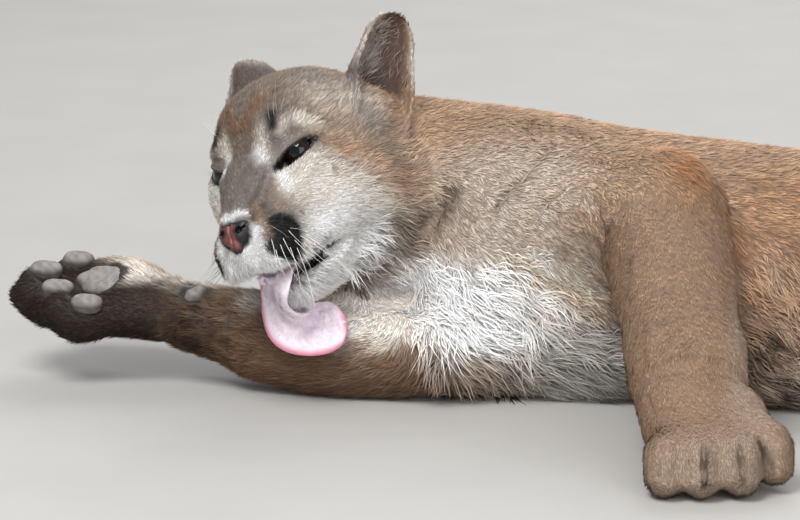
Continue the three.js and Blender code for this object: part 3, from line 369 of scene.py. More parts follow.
def within(points, place, centre, halves, soft=0.4):
    # 1 inside an egg, 0 outside it, and a soft change over a share of its size
    local = (place.local(points) - np.array(centre)) / np.array(halves)
    far = np.linalg.norm(local, axis=1)
    t = np.clip((1 + soft - far) / (2 * soft), 0, 1)
    return t * t * (3 - 2 * t)


def on_body(centre, halves, soft=0.4):
    return within(points, BODY, centre, halves, soft)


def on_head(centre, halves, soft=0.4):
    return within(points, HEAD, centre, halves, soft)


def both_sides(centre, halves, soft=0.4):
    # an egg on one half of the head and its mirror image on the other
    mirrored = (centre[0], -centre[1], centre[2])
    return np.maximum(on_head(centre, halves, soft), on_head(mirrored, halves, soft))


def along(points, stations):
    # each point's distance to a line of stations, and how far along the line its nearest place is
    stations = np.asarray(stations, float)
    best = np.full(len(points), 1e9)
    place = np.zeros(len(points))
    run = 0
    for a, b in zip(stations[:-1], stations[1:]):
        step = b - a
        t = np.clip((points - a) @ step / (step @ step), 0, 1)
        far = np.linalg.norm(points - a - t[:, None] * step, axis=1)
        nearer = far < best
        best = np.where(nearer, far, best)
        place = np.where(nearer, run + t * np.linalg.norm(step), place)
        run += np.linalg.norm(step)
    return best, place


def groove(stations, width):
    return np.exp(-((along(points, stations)[0] / width) ** 2))


def twice(stations):
    # a line on the head and its mirror image on the other side
    local = HEAD.local(np.asarray(stations, float))
    return [HEAD.spread(local), HEAD.spread(local * (1, -1, 1))]


def grooves(stations, width):
    return np.maximum(*[groove(line, width) for line in twice(stations)])


def of_ear(side):
    return ear_share * (HEAD.local(points)[:, 1] * side > 0)


# each ear's place, with its first direction up the ear; the tips are broad and round
EAR_LENGTH = 88
EARS = {}
for side, base, ahead, over, lean, rise in ((1, (-98, 63.5, 20.5), 0.4, 0.9, 14, 72),
                                            (-1, (-95, -57, 25), -0.45, -0.9, -6, 80)):
    up = unit(-43 * HEAD.f + lean * HEAD.l + rise * HEAD.u)
    EARS[side] = Place(HEAD.at(*base), up, np.cross(ahead * HEAD.f + over * HEAD.l, up))
    spot = EARS[side].local(points)
    high = spot[:, 0] / EAR_LENGTH
    shorter = 1 - 0.35 * np.clip(high - 0.88, 0, 1)
    broader = 1 + 0.32 * np.exp(-(((high - 0.86) / 0.2) ** 2))
    rounder = spot * np.stack([shorter, broader, np.ones(len(points))], axis=1)
    points += of_ear(side)[:, None] * (EARS[side].spread(rounder) - points)

# the upper lip hangs a little over the tongue
lowered = both_sides((36, 20, -81), (25, 25, 8), 0.4) * head_share
points -= 4 * lowered[:, None] * HEAD.u

# the wrist of the left foreleg runs smoothly into its paw, most of all on top
left_wrist = on_body((236, -216, 52), (60, 40, 44), 0.4)
points = smoothed(points, edges, 80, (0.55 * left_wrist, -0.54 * left_wrist))
wrist_top = on_body((236, -262, 55), (66, 30, 17), 0.5)
points = smoothed(points, edges, 160, (0.5 * wrist_top,))
put_points(skin.data, points)
depth = smoothed(np.array([COAT[n][DEPTH] for n in flesh])[part], edges, 25)
depth = depth + (1.2 - depth) * ear_share
normals = normals_of(skin.data)

# the skin over the lids, the nose and the lips is thin, and the hair there is very short
NOSE = Place(HEAD.at(52, 0, -53), HEAD.f + 0.35 * HEAD.u, HEAD.l)
fine = np.maximum(both_sides((8, 38, 0), (30, 26, 22)), on_head((48, 0, -66), (34, 40, 34)))
depth = depth * (1 - 0.5 * fine)
throat = np.maximum(on_body((45, -5, 80), (85, 70, 45)),
                    on_body((150, -30, 28), (110, 60, 40)))
depth = depth + 3 * throat * (1 - head_share)
carved = -depth - 3.0 * within(points, NOSE, (2, 0, -2), (13, 15, 13), 0.25)
# the skin sinks under each pad, and no hair stands near a pad or the tongue; reaches are in metres
PAD_BED, PAD_REACH, TONGUE_REACH = 0.0022, 0.0045, 0.003
soles = [surface_of(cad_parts[n]) for n in pads]
for tree in soles:
    carved -= 3.5 * smoothed(touching(tree, PAD_BED), edges, 1)

# folds of the face: over and under the eye, along the bridge, and between the whiskers' rows
UPPER_FOLD = seen((254, 168), (262, 154), (272, 143), (288, 134), (304, 128))
LOWER_FOLD = seen((272, 192), (286, 182), (302, 168), (316, 150))
TEAR_FOLD = seen((266, 174), (264, 184), (258, 198), (250, 208))
carved -= 1.4 * grooves(UPPER_FOLD, 2.6)
carved -= 1.0 * grooves(LOWER_FOLD, 3.0)
carved -= 1.6 * grooves(TEAR_FOLD, 3.2)
carved += 1.3 * grooves(seen((258, 178), (268, 160), (282, 148), (300, 138)), 3.0)
for rise in (0, 7, 14):
    row = seen((262, 222 + rise * 1.1), (280, 222 + rise), (300, 220 + rise))
    carved -= 0.6 * grooves(row, 1.8)
carved -= 1.6 * groove([HEAD.at(66, 0, -68), HEAD.at(62, 0, -78), HEAD.at(54, 0, -87)], 1.8)
carved -= 0.9 * grooves(seen((250, 96), (243, 112), (238, 130)), 4.0)

# folds of the loose skin on the neck, at the wrists and at the elbows
FOLDS = [
    (3.0, 2.6, seen((552, 140), (535, 158), (515, 178), (494, 205), (484, 222))),
    (2.6, 2.4, seen((520, 176), (505, 190), (492, 210))),
    (2.4, 2.2, seen((560, 190), (540, 205), (526, 226))),
    (2.0, 2.2, seen((500, 170), (480, 196), (472, 222))),
    (2.2, 2.2, seen((592, 200), (600, 230), (602, 262))),
    (4.0, 2.6, seen((182, 310), (178, 328), (173, 343))),
    (4.2, 2.8, seen((234, 304), (230, 324), (225, 352))),
    (3.6, 2.4, seen((232, 335), (245, 331), (258, 328))),
    (3.4, 2.4, seen((202, 322), (201, 346))),
    (3.2, 2.4, seen((253, 350), (243, 372))),
    (3.0, 2.4, seen((210, 300), (207, 318))),
    (2.6, 2.2, seen((160, 312), (158, 330))),
    (1.6, 2.0, seen((624, 262), (630, 250), (646, 240))),
    (2.6, 1.8, seen((640, 325), (652, 320), (664, 317))),
    (2.4, 1.6, seen((668, 331), (682, 327))),
    (2.2, 1.6, seen((684, 341), (698, 337))),
    (2.2, 1.6, seen((650, 292), (672, 284))),
    (2.0, 1.6, seen((640, 352), (660, 347))),
    (2.0, 1.6, seen((655, 378), (684, 372))),
    (2.0, 1.6, seen((690, 300), (712, 297))),
    (1.2, 2.2, seen((646, 396), (650, 410), (662, 424))),
    (4.5, 2.8, seen((704, 444), (704, 470), (705, 492))),
    (4.0, 2.6, seen((740, 446), (742, 470), (741, 488))),
    (3.5, 2.6, seen((762, 446), (768, 462), (770, 474))),
    (4.5, 5.0, seen((448, 192), (436, 212), (415, 231), (394, 247), (370, 258), (352, 270))),
    (2.0, 2.2, seen((664, 446), (658, 460), (657, 476))),
]
creased = np.zeros(len(points))
for deep, wide, line in FOLDS:
    carved -= deep * groove(line, wide)
    creased = np.maximum(creased, groove(line, wide * 4))
points = points + normals * carved[:, None]
points[:, 2] = np.maximum(points[:, 2], SKIN_FLOOR)
put_points(skin.data, points)

# the trunk and tail need fewer faces than the head, the paws and the folds
bpy.context.view_layer.objects.active = skin
faces = read(skin.data, "polygons", "vertices", 4, np.int32)
bpy.context.tool_settings.mesh_select_mode = (False, False, True)
skin.data.vertices.foreach_set("select", np.zeros(len(points), bool))
skin.data.edges.foreach_set("select", np.zeros(len(edges), bool))
kept = (firm > 0.02) | (creased > 0.1)
skin.data.polygons.foreach_set("select", ~kept[faces].any(axis=1))
bpy.ops.object.mode_set(mode="EDIT")
bpy.ops.mesh.decimate(ratio=0.1)
bpy.ops.mesh.select_all(action="SELECT")
bpy.ops.mesh.quads_convert_to_tris()
bpy.ops.object.mode_set(mode="OBJECT")

# Eyes
# Each eye is a glossy ball with a clear bulge in front: a large black pupil and an iris painted
# very dark brown, as painted shade in the narrowed eye. The lids are the skin's own, slit open
# to a long almond and hollowed to the ball's size, with a wet black edge all round the slit.
EYE_RADIUS = 15
SLIT_HALVES = (14, 20, 5.6)
# the angles from the line of gaze at which the pupil, the iris and its dark rim end
PUPIL, IRIS, IRIS_RIM = 0.44, 0.66, 0.78


def eye_place(side):
    gaze = 0.906 * HEAD.f + 0.423 * side * HEAD.l
    slit = -0.38 * HEAD.f + 0.82 * side * HEAD.l + 0.43 * HEAD.u
    return Place(eye_centre(side), gaze, slit)


def colour_points(mesh, colours):
    layer = mesh.color_attributes.get("markings")
    if layer is None:
        layer = mesh.color_attributes.new("markings", "FLOAT_COLOR", "POINT")
    rgba = np.concatenate([colours, np.ones((len(colours), 1))], axis=1)
    layer.data.foreach_set("color", rgba.astype(np.float32).ravel())


def soften(mesh):
    mesh.polygons.foreach_set("use_smooth", np.ones(len(mesh.polygons), bool))


def smooth_faces(mesh):
    # faces that all look outward, with soft shading
    fix = bmesh.new()
    fix.from_mesh(mesh)
    bmesh.ops.recalc_face_normals(fix, faces=fix.faces)
    fix.to_mesh(mesh)
    fix.free()
    soften(mesh)


def ball(name, place, halves, rings=24, bend=None):
    # a sphere whose poles lie along the place's forward direction, drawn out to an egg
    bpy.ops.object.select_all(action="DESELECT")
    bpy.ops.mesh.primitive_uv_sphere_add(segments=2 * rings, ring_count=rings, radius=1)
    made = bpy.context.object
    made.name = name
    made.data.name = name
    local = read(made.data)[:, [2, 0, 1]].astype(float) * np.array(halves)
    put_points(made.data, place.spread(local if bend is None else bend(local)))
    smooth_faces(made.data)
    return made


def almond(local):
    across = np.clip(np.abs(local[:, 1]) / SLIT_HALVES[1], 0, 1)
    local[:, 2] *= 1 - 0.45 * across**1.5
    return local


def bulging(local):
    way = np.arccos(np.clip(local[:, 0] / EYE_RADIUS, -1, 1))
    return local * (1 + 0.07 * np.exp(-((way / 0.62) ** 4)))[:, None]


def carve(piece, *tools):
    for tool in tools:
        apply_modifier(piece, "BOOLEAN", operation="DIFFERENCE", object=tool, solver="MANIFOLD")
        bpy.data.objects.remove(tool)


def marked_material(name, roughness):
    # a finish that takes its colour from the markings on the piece's points
    made, shader = finish_material(name, roughness)
    tint = wire(made.node_tree, "ShaderNodeVertexColor", {"layer_name": "markings"})
    made.node_tree.links.new(tint.outputs["Color"], shader.inputs["Base Color"])
    return made, shader


def roughen(tree, shader, height, strength, distance):
    # a fine relief in a finish, with its depth in metres
    bump = wire(tree, "ShaderNodeBump", {"Strength": strength, "Distance": distance}, {"Height": height})
    tree.links.new(bump.outputs["Normal"], shader.inputs["Normal"])


eye_paint, shader = marked_material("wet_eye", 0.04)
shader.inputs["Specular IOR Level"].default_value = 0.3
shader.inputs["Coat Weight"].default_value = 0.35
shader.inputs["Coat Roughness"].default_value = 0.03
rim_paint, shader = finish_material("lid_edge", 0.22, (0.006, 0.005, 0.005))
roughen(rim_paint.node_tree, shader, noise(rim_paint.node_tree, 1400.0), 0.2, 0.0002)


def ringed(name, spots, sides, closed=False):
    # rings of points, one after another, joined to a hoop or to a form with two closed ends
    count = len(spots) // sides
    faces = []
    for i in range(count if closed else count - 1):
        here, there = i * sides, (i + 1) % count * sides
        for j in range(sides):
            k = (j + 1) % sides
            faces.append((here + j, here + k, there + k, there + j))
    if not closed:
        faces.append(tuple(range(sides))[::-1])
        faces.append(tuple(range((count - 1) * sides, count * sides)))
    made_mesh = bpy.data.meshes.new(name)
    made_mesh.from_pydata([tuple(p) for p in in_scene(spots)], [], faces)
    smooth_faces(made_mesh)
    return add_piece(name, made_mesh)


def hoop(name, path, radii, sides=8):
    # a round tube along a closed path of points
    step = unit(np.roll(path, -1, axis=0) - np.roll(path, 1, axis=0))
    side = unit(np.cross(step, HEAD.u))
    up = np.cross(side, step)
    turn = np.arange(sides) * 2 * math.pi / sides
    ring = np.cos(turn)[:, None, None] * side + np.sin(turn)[:, None, None] * up
    return ringed(name, (path + ring * radii[:, None]).transpose(1, 0, 2).reshape(-1, 3), sides, closed=True)


before = surface_of(skin)
RIM_POINTS = 72
RIMS = {}
for side, word in ((1, "left"), (-1, "right")):
    place = eye_place(side)
    middle = Place(place.at(15, -2, -1), place.f, place.l)
    turn = np.linspace(0, 2 * math.pi, RIM_POINTS, endpoint=False)
    across = 20.4 * np.cos(turn)
    over = 5.9 * np.sin(turn) * (1 - 0.45 * np.abs(np.cos(turn)) ** 1.5)
    rim = []
    for l, u in zip(across, over):
        hit = before.ray_cast(Vector(in_scene(middle.at(40, l, u))), Vector(-middle.f))[0]
        rim.append(from_scene(hit) - 0.5 * middle.f)
    rim = np.array(rim)
    RIMS[side] = rim
    rim = (np.roll(rim, 1, axis=0) + rim + np.roll(rim, -1, axis=0)) / 3
    lid = hoop(f"lid_edge_{word}", rim, 0.9 + 0.35 * np.clip(np.sin(turn), 0, 1))
    lid.data.materials.append(rim_paint)
    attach(lid, "root")
    socket = ball("socket", place, (EYE_RADIUS + 0.3,) * 3, 20)
    slit = ball("slit", middle, SLIT_HALVES, 20, almond)
    carve(skin, socket, slit)
    eyeball = ball(f"eyeball_{word}", place, (EYE_RADIUS,) * 3, 40, bulging)
    way = place.local(points_of(eyeball.data))
    angle = np.arccos(np.clip(unit(way)[:, 0], -1, 1))
    spoke = 0.5 + 0.5 * np.sin(np.arctan2(way[:, 1], way[:, 2]) * 37)
    # the iris is painted very dark brown rather than amber: painted shade in the narrow slit
    iris = linear(34, 24, 15) * (0.6 + 0.5 * spoke)[:, None]
    colours = np.where((angle < PUPIL)[:, None], linear(4, 4, 5), iris)
    colours = np.where((angle > IRIS)[:, None], linear(14, 11, 10), colours)
    colours = np.where((angle > IRIS_RIM)[:, None], linear(26, 21, 20), colours)
    colour_points(eyeball.data, colours)
    eyeball.data.materials.append(eye_paint)
    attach(eyeball, "root")
    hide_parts(f"eye_{word}")

# Net
# The finished skin's points, faces and directions, which the coat and its colours are laid on.
mesh = skin.data
points = points_of(mesh)
edges = edges_of(mesh)
normals = normals_of(mesh)
mesh.calc_loop_triangles()
triangles = read(mesh, "loop_triangles", "vertices", 3, np.int32)
part = part_of(mesh)
local = HEAD.local(points)


def share_of(*names, rounds=10):
    return smoothed(among(part, *names), edges, rounds)


head_share = share_of(*HEAD_PARTS, rounds=6)
ear_share = share_of("ear_left", "ear_right", rounds=1)

# how far up each ear a point is, how far across it, and whether it is on the hollow side
hollow = np.zeros(len(points))
ear_height = np.zeros(len(points))
ear_across = np.zeros(len(points))
for side in (1, -1):
    spot = EARS[side].local(points)
    mine = of_ear(side)
    high = np.clip(spot[:, 0] / EAR_LENGTH, 0, 1)
    inward = np.stack([np.zeros(len(points)), -spot[:, 1], 12 * high - spot[:, 2]], axis=1)
    looks = normals @ np.stack([EARS[side].f, EARS[side].l, EARS[side].u], axis=1)
    hollow = np.where(mine > 0.5, (np.sum(unit(inward) * looks, axis=1) > 0.1) & (spot[:, 0] > 2), hollow)
    ear_height = np.where(mine > 0.5, high, ear_height)
    ear_across = np.where(mine > 0.5, np.arctan2(spot[:, 1], 12 * high - spot[:, 2]) * -side, ear_across)
hollow = smoothed(hollow.astype(float), edges, 1)

# Lie of the coat
# Hair runs back from the nose over the head, then along the neck and trunk to the tail, and down
# each leg to its toes. Where the photographed coat turns aside, a stroke of the comb says how.
SPINE = [(-28, 82, 170), (34, 86, 148), (95, 82, 126), (165, 78, 106), (265, 74, 94), (375, 82, 86),
         (490, 95, 83), (600, 105, 84), (690, 112, 88), (748, 118, 84), (830, 138, 66), (892, 146, 46),
         (960, 136, 34), (1034, 84, 29), (1078, -4, 28), (1072, -108, 27), (1008, -192, 27),
         (930, -236, 26), (860, -256, 25)]
LEFT_ARM = [(150, 100, 150), (84, 62, 156), (212, -38, 166), (220, -100, 126), (226, -168, 82),
            (230, -214, 52), (244, -260, 28), (248, -330, 18)]
RIGHT_ARM = [(150, 60, 60), (46, -6, 40), (-58, 10, 41), (-125, 33, 46), (-172, 46, 54), (-256, 60, 62),
             (-350, 72, 66)]
LEFT_HIND = [(705, 96, 138), (596, -78, 100), (710, -132, 68), (800, -176, 44), (720, -240, 34),
             (610, -310, 28)]
RIGHT_HIND = [(700, 110, 60), (492, -10, 52), (530, -140, 45), (560, -226, 40), (480, -262, 36),
              (370, -300, 32)]
LIMBS = [
    (SPINE, ["neck", "chest", "belly", "hips", "tail_root", "tail_middle", "tail_end", "tail_tip"], 80),
    (LEFT_ARM, ["left_upper_arm", "left_forearm", "left_forepaw"], 50),
    (RIGHT_ARM, ["right_elbow", "right_forearm", "right_forepaw"], 40),
    (LEFT_HIND, ["left_thigh", "left_shank", "left_hind_foot", "left_hindpaw"], 50),
    (RIGHT_HIND, ["right_thigh", "right_shank", "right_hind_foot", "right_hindpaw"], 50),
]
NOSE_TIP = HEAD.at(64, 0, -50)

lie = np.zeros_like(points)
for stations, names, girth in LIMBS:
    stations = np.array(stations, float)
    heading = np.zeros_like(points)
    for a, b in zip(stations[:-1], stations[1:]):
        t = np.clip((points - a) @ (b - a) / ((b - a) @ (b - a)), 0, 1)
        far = np.linalg.norm(points - a - t[:, None] * (b - a), axis=1)
        heading += ((girth / (far + girth * 0.3)) ** 5)[:, None] * unit(b - a)
    lie += share_of(*names)[:, None] * unit(heading)
from_nose = unit(unit(points - NOSE_TIP) - 0.55 * HEAD.f - 0.12 * np.array([0, 0, 1.0]))
lie = lie * (1 - head_share[:, None]) + from_nose * head_share[:, None]
for side in (1, -1):
    lie += (of_ear(side) * 2)[:, None] * EARS[side].f

# where, which way, how far the stroke reaches, and how strong it is
COMB = [
    ((10, 10, 92), (0.6, -0.35, -0.6), 50, 2.5),
    ((60, -16, 90), (0.72, -0.25, -0.65), 50, 2.5),
    ((110, -34, 60), (0.75, -0.1, -0.65), 50, 2.0),
    ((150, -40, 30), (0.9, -0.1, -0.35), 45, 2.0),
    ((150, -50, 100), (0.7, -0.3, -0.7), 45, 1.5),
    ((60, -40, 30), (0.75, -0.3, -0.45), 35, 2.0),
    ((285, -30, 140), (0.55, -0.45, -0.7), 50, 2.0),
    ((330, -50, 80), (0.3, -0.5, -0.8), 60, 2.0),
    ((320, -70, 30), (0.9, -0.2, 0.2), 40, 1.5),
    ((420, -40, 60), (0.7, -0.5, -0.5), 90, 1.5),
    (HEAD.at(32, 26, -83), -0.95 * HEAD.u - 0.2 * HEAD.f, 16, 3),
    (HEAD.at(32, -26, -83), -0.95 * HEAD.u - 0.2 * HEAD.f, 16, 3),
    (HEAD.at(0, 34, -78), -0.85 * HEAD.u - 0.5 * HEAD.f, 15, 3),
    (HEAD.at(0, -34, -78), -0.85 * HEAD.u - 0.5 * HEAD.f, 15, 3),
]
for centre, way, reach, strength in COMB:
    near = np.exp(-((np.linalg.norm(points - np.array(centre), axis=1) / reach) ** 2))
    lie += (near * strength)[:, None] * unit(way)


def flattened(directions):
    return unit(directions - np.sum(directions * normals, axis=1, keepdims=True) * normals)


def ripple(where, size, seed, waves=9):
    # a smooth wavering between about -1 and 1 that repeats nowhere near
    draw = np.random.default_rng(seed)
    ways = unit(draw.normal(size=(waves, 3))) * draw.uniform(0.6, 1.6, (waves, 1)) * 2 * math.pi / size
    return np.sin(where @ ways.T + draw.uniform(0, 6.28, waves)).sum(axis=1) / math.sqrt(waves)


lie = flattened(lie)
lie = flattened(smoothed(lie, edges, 12))
loose = np.maximum(on_body((60, -5, 72), (100, 66, 52), 0.4),
                   on_body((140, -30, 24), (110, 64, 44), 0.4))
turn = (0.2 + 0.35 * loose) * ripple(points, 50, 3) + (0.15 + 0.3 * loose) * ripple(points, 20, 4)
lie = unit(lie + turn[:, None] * np.cross(normals, lie))

# Markings
# The coat is tawny, greyer on the neck and forehead and rusty in the creases, with a white muzzle,
# chin and chest, black whisker pads, dark stripes on the brow and a dark end of the tail. Painted
# shade darkens the folds, the clefts between the toes, the hollows round the left foreleg and
# behind the ruff, and the right foreleg and paw low down.
TAWNY = linear(165, 135, 109)
SAND = linear(178, 154, 130)
RUST = linear(170, 118, 78)
BACK = linear(150, 118, 92)
GREY_BEIGE = linear(184, 168, 153)
CREAM = linear(244, 233, 220)
PALE = linear(216, 205, 192)
WHITE = linear(244, 243, 242)
LIGHT = linear(250, 238, 222)
CHEST = linear(164, 160, 154)
BROWN = linear(112, 87, 68)
DARK = linear(62, 48, 40)
SOOT = linear(12, 11, 11)
FOREHEAD = linear(113, 103, 95)
CROWN = linear(112, 95, 80)
BRIDGE = linear(114, 104, 98)
PAW_SHADE_BROWN = linear(28, 20, 16)

colour = np.tile(TAWNY, (len(points), 1))


def paint(new, share):
    global colour
    colour = colour + np.clip(share, 0, 1)[:, None] * (new - colour)


def mottle(size, seed, low, high):
    # patches of a given size that come and go between two strengths
    return low + (high - low) * np.clip(0.5 + 0.5 * ripple(points, size, seed), 0, 1)


high = np.clip((points[:, 2] - 120) / 90, 0, 1)
paint(SAND, 0.5 * on_body((160, -60, 160), (120, 120, 90), 0.5))
paint(BACK, 0.5 * high * np.clip((points[:, 0] - 60) / 200, 0, 1))
paint(GREY_BEIGE, 0.9 * on_body((75, -15, 160), (80, 60, 66), 0.5))
paint(PALE, 0.3 * mottle(30, 21, -0.4, 1) * on_body((120, -40, 150), (90, 60, 60), 0.5))
paint(RUST, 0.8 * groove(seen((676, 145), (690, 165), (702, 190), (722, 222), (738, 256)), 24))
paint(RUST, 0.3 * on_body((330, 0, 140), (70, 80, 60), 0.6))
paint(PALE, 0.7 * on_body((470, -40, 40), (170, 90, 46), 0.6))
paint(CREAM, 0.45 * mottle(22, 23, -0.2, 1) * on_body((325, -60, 70), (60, 50, 70), 0.6))
paint(PALE, 0.7 * mottle(24, 24, 0.1, 1) * on_body((118, -60, 98), (80, 60, 44), 0.5))
paint(WHITE, 0.9 * on_body((28, 2, 86), (72, 60, 36), 0.35))
paint(WHITE, 0.7 * on_body((74, -30, 66), (62, 60, 40), 0.35))
paint(CHEST, on_body((150, -30, 26), (100, 60, 52), 0.35))
# painted shade in the armpit of the left foreleg
paint(BROWN * 0.35, mottle(14, 25, 0.3, 1.2) * on_body(seen((612, 262))[0], (20, 40, 44), 0.6))
paint(BACK * 0.7, 0.7 * on_body((335, -50, 95), (62, 60, 66), 0.5))
mottled = on_body(seen((778, 368))[0], (50, 64, 52), 0.5)
paint(DARK * 0.4, mottled * np.clip(0.6 + 1.2 * ripple(points, 15, 11), 0, 0.97))
# painted shade down the hollow between the left foreleg and the chest
paint(DARK, 0.5 * on_body((186, -90, 70), (22, 60, 60), 0.5))

right_arm = share_of("right_forearm", "right_elbow", rounds=4)
right_paw = share_of("right_forepaw", rounds=60)
left_paw = share_of("left_forepaw", rounds=40)
# how low a point lies on the right forearm, towards the floor where it is in shade
arm_underside_shade = np.clip((64 + 6 * ripple(points, 30, 31) - points[:, 2]) / 22, 0, 1)
paint(linear(116, 96, 80), 0.85 * right_arm)
paint(CREAM, 0.95 * right_arm * np.clip((points[:, 0] + 78) / 30, 0, 1) * np.clip(1.2 - arm_underside_shade, 0, 1))
# painted shade: the right forearm is brown on its lower side
paint(BROWN, 0.9 * right_arm * arm_underside_shade * np.clip((70 - points[:, 0]) / 50, 0, 1))
paint(BROWN, 0.5 * right_arm * np.clip((-70 - points[:, 0]) / 30, 0, 1) * mottle(16, 33, 0.2, 1))
paint(WHITE, 0.8 * right_arm * on_body((64, -20, 74), (44, 50, 24), 0.5))
# painted shade: the right paw is near black below its top, towards the floor
paint(PAW_SHADE_BROWN, 0.96 * right_paw * np.clip((100 - points[:, 2]) / 10, 0, 1))
paint(TAWNY * 0.8, right_paw * on_body((-192, 90, 92), (40, 30, 20), 0.5))
# painted shade, mottled, under the right wrist near the floor
paint(PAW_SHADE_BROWN * 3, mottle(12, 38, 0.3, 1.1) * on_body((-185, 40, 52), (62, 60, 36), 0.6))
paint(CREAM, 0.7 * on_body((-228, 62, 94), (26, 28, 14), 0.5))
paint(CREAM, 0.55 * on_body((-165, 60, 86), (60, 26, 14), 0.5) * mottle(10, 35, 0.2, 1))
paint(DARK, 0.7 * groove(seen((140, 296), (162, 298), (188, 318), (215, 330)), 8))
paint(linear(148, 120, 97), 0.8 * share_of("left_forearm", "left_forepaw"))
paint(GREY_BEIGE, 0.5 * left_paw * on_body((246, -310, 22), (70, 34, 40), 0.6))
paint(CREAM, 0.15 * on_body((276, -200, 70), (22, 90, 70), 0.5))
# painted shade in the hollow behind the cheek ruff: mottled brown, with a dark core along it
ruff_shadow_line = seen((448, 190), (438, 210), (416, 230), (394, 247), (370, 258), (350, 272), (342, 284))
paint(BROWN, 0.8 * groove(ruff_shadow_line, 11) * mottle(9, 36, 0.4, 1.2))
paint(DARK, 0.9 * groove(ruff_shadow_line, 6))
hind_feet = share_of(*[n for n in flesh if "hind" in n])
paint(PALE, 0.3 * hind_feet)
# painted shade in the clefts between the toes of the left forepaw
for line in (seen((707, 448), (706, 478), (705, 492)), seen((738, 444), (742, 470), (741, 488)),
             seen((758, 440), (766, 460), (769, 476))):
    paint(DARK, 0.85 * groove(line, 3.4))
# painted shade in every fold, darker the deeper the fold
for deep, wide, line in FOLDS:
    paint(DARK * 0.6, 0.28 * deep * groove(line, wide * 0.9))
tail_end = np.exp(-((np.linalg.norm((points - np.array((885, -248, 25))) / 88, axis=1)) ** 4))
paint(SOOT * 1.5, 0.9 * tail_end)


def stripe(new, amount, width, *places):
    # a marking along a line on the seen half of the face, and its mirror image on the other half
    paint(new, amount * head_share * grooves(seen(*places), width))


# grey only in front of the ears: behind them the head is as tawny as the back
hooded = share_of(*HEAD_PARTS, rounds=50) * head_share
paint(FOREHEAD, hooded * np.clip((local[:, 0] + 118 + 6 * ripple(points, 24, 39)) / 50, 0, 1))
paint(CROWN, 0.6 * head_share * on_head((-40, 0, 60), (40, 30, 40), 0.6))
stripe(CROWN, 0.8, 12, (258, 104), (272, 98), (296, 88))
stripe(SAND, 0.55, 22, (330, 118), (352, 142), (374, 158))
stripe(PALE, 0.35, 20, (318, 96), (345, 96), (366, 100))
stripe(LIGHT, 0.75, 20, (300, 180), (326, 196), (350, 208))
stripe(LIGHT, 0.75, 21, (330, 190), (356, 192), (376, 204))
stripe(PALE, 0.6, 14, (300, 160), (330, 160), (356, 172))
stripe(SAND, 0.5, 9, (404, 150), (416, 176), (420, 196))
stripe(linear(160, 120, 88), 0.6, 6, (316, 134), (330, 141), (346, 150))
stripe(RUST, 0.3, 16, (352, 150), (376, 166), (398, 186))
stripe(WHITE, 0.85, 13, (318, 222), (342, 218), (366, 228))
paint(WHITE, 0.95 * share_of("lower_jaw", rounds=4))
paint(WHITE, 0.9 * both_sides((-8, 38, -92), (58, 34, 26), 0.4))
stripe(BRIDGE, 0.9, 15, (246, 162), (240, 182), (232, 206))
stripe(BRIDGE, 0.7, 8, (260, 178), (262, 200))
stripe(WHITE, 0.8, 6.5, (256, 150), (262, 158))
stripe(PALE, 0.6, 7, (258, 132), (262, 142))
stripe(PALE, 0.6, 5, (284, 120), (280, 132))
stripe(LIGHT, 0.6, 7, (298, 118), (314, 121))
stripe(WHITE, 0.8, 5.5, (281, 172), (285, 184))
stripe(BROWN * 1.4, 0.5, 5.5, (272, 188), (276, 200), (284, 206))
stripe(DARK, 0.8, 2.2, (268, 179), (270, 183))
stripe(SOOT * 1.2, 1.3, 4.6, (269, 114), (270, 119), (271, 126))
stripe(CROWN * 0.8, 1.1, 6.5, (234, 122), (231, 136), (234, 156))
stripe(BROWN, 1.2, 5, (258, 98), (249, 114), (241, 131))
stripe(CROWN, 0.75, 3.5, (285, 103), (300, 107), (316, 114), (332, 123))
stripe(DARK, 0.35, 2.6, (226, 166), (225, 184), (221, 206))
stripe(WHITE, 0.9, 3.2, (223, 222), (234, 214), (247, 213))
paint(WHITE, both_sides((46, 14, -84), (34, 26, 24), 0.3))
stripe(WHITE, 1, 6.5, (255, 230), (254, 244), (252, 258))
stripe(WHITE, 1, 7, (262, 252), (270, 262), (284, 266), (298, 262))
stripe(TAWNY * 0.7, 0.9, 5, (257, 206), (259, 220))
stripe(DARK, 0.95, 2.6, (252, 211), (253, 219))
stripe(DARK, 0.7, 3.6, (263, 206), (268, 212))
stripe(BROWN, 0.9, 5.5, (269, 222), (267, 236), (272, 250))
stripe(LIGHT, 0.8, 3.5, (309, 240), (305, 250))
for width, line in ((16, ((288, 227), (287, 238))), (11, ((279, 221), (294, 243))),
                    (9.5, ((276, 246), (292, 250)))):
    edge = grooves(seen(*line), width) + 0.04 * ripple(points, 5, 42)
    paint(SOOT * 0.3, head_share * np.clip((edge - 0.36) * 5, 0, 1))
stripe(SOOT, 0.9, 2.8, (330, 235), (322, 244), (312, 253), (300, 264))
# the skin hidden under the nose is painted black, so the nostrils look dark inside: painted shade
paint(SOOT, within(points, NOSE, (0, 0, -1), (14.5, 17, 15), 0.08))
paint(SOOT, head_share * groove([HEAD.at(64, 1, -70), HEAD.at(60, 1, -79), HEAD.at(56, 0, -90)], 1.8))
outer_lip = [HEAD.at(56, -14, -66), HEAD.at(50, -24, -76), HEAD.at(46, -18, -90)]
paint(BROWN, 0.8 * head_share * groove(outer_lip, 3))

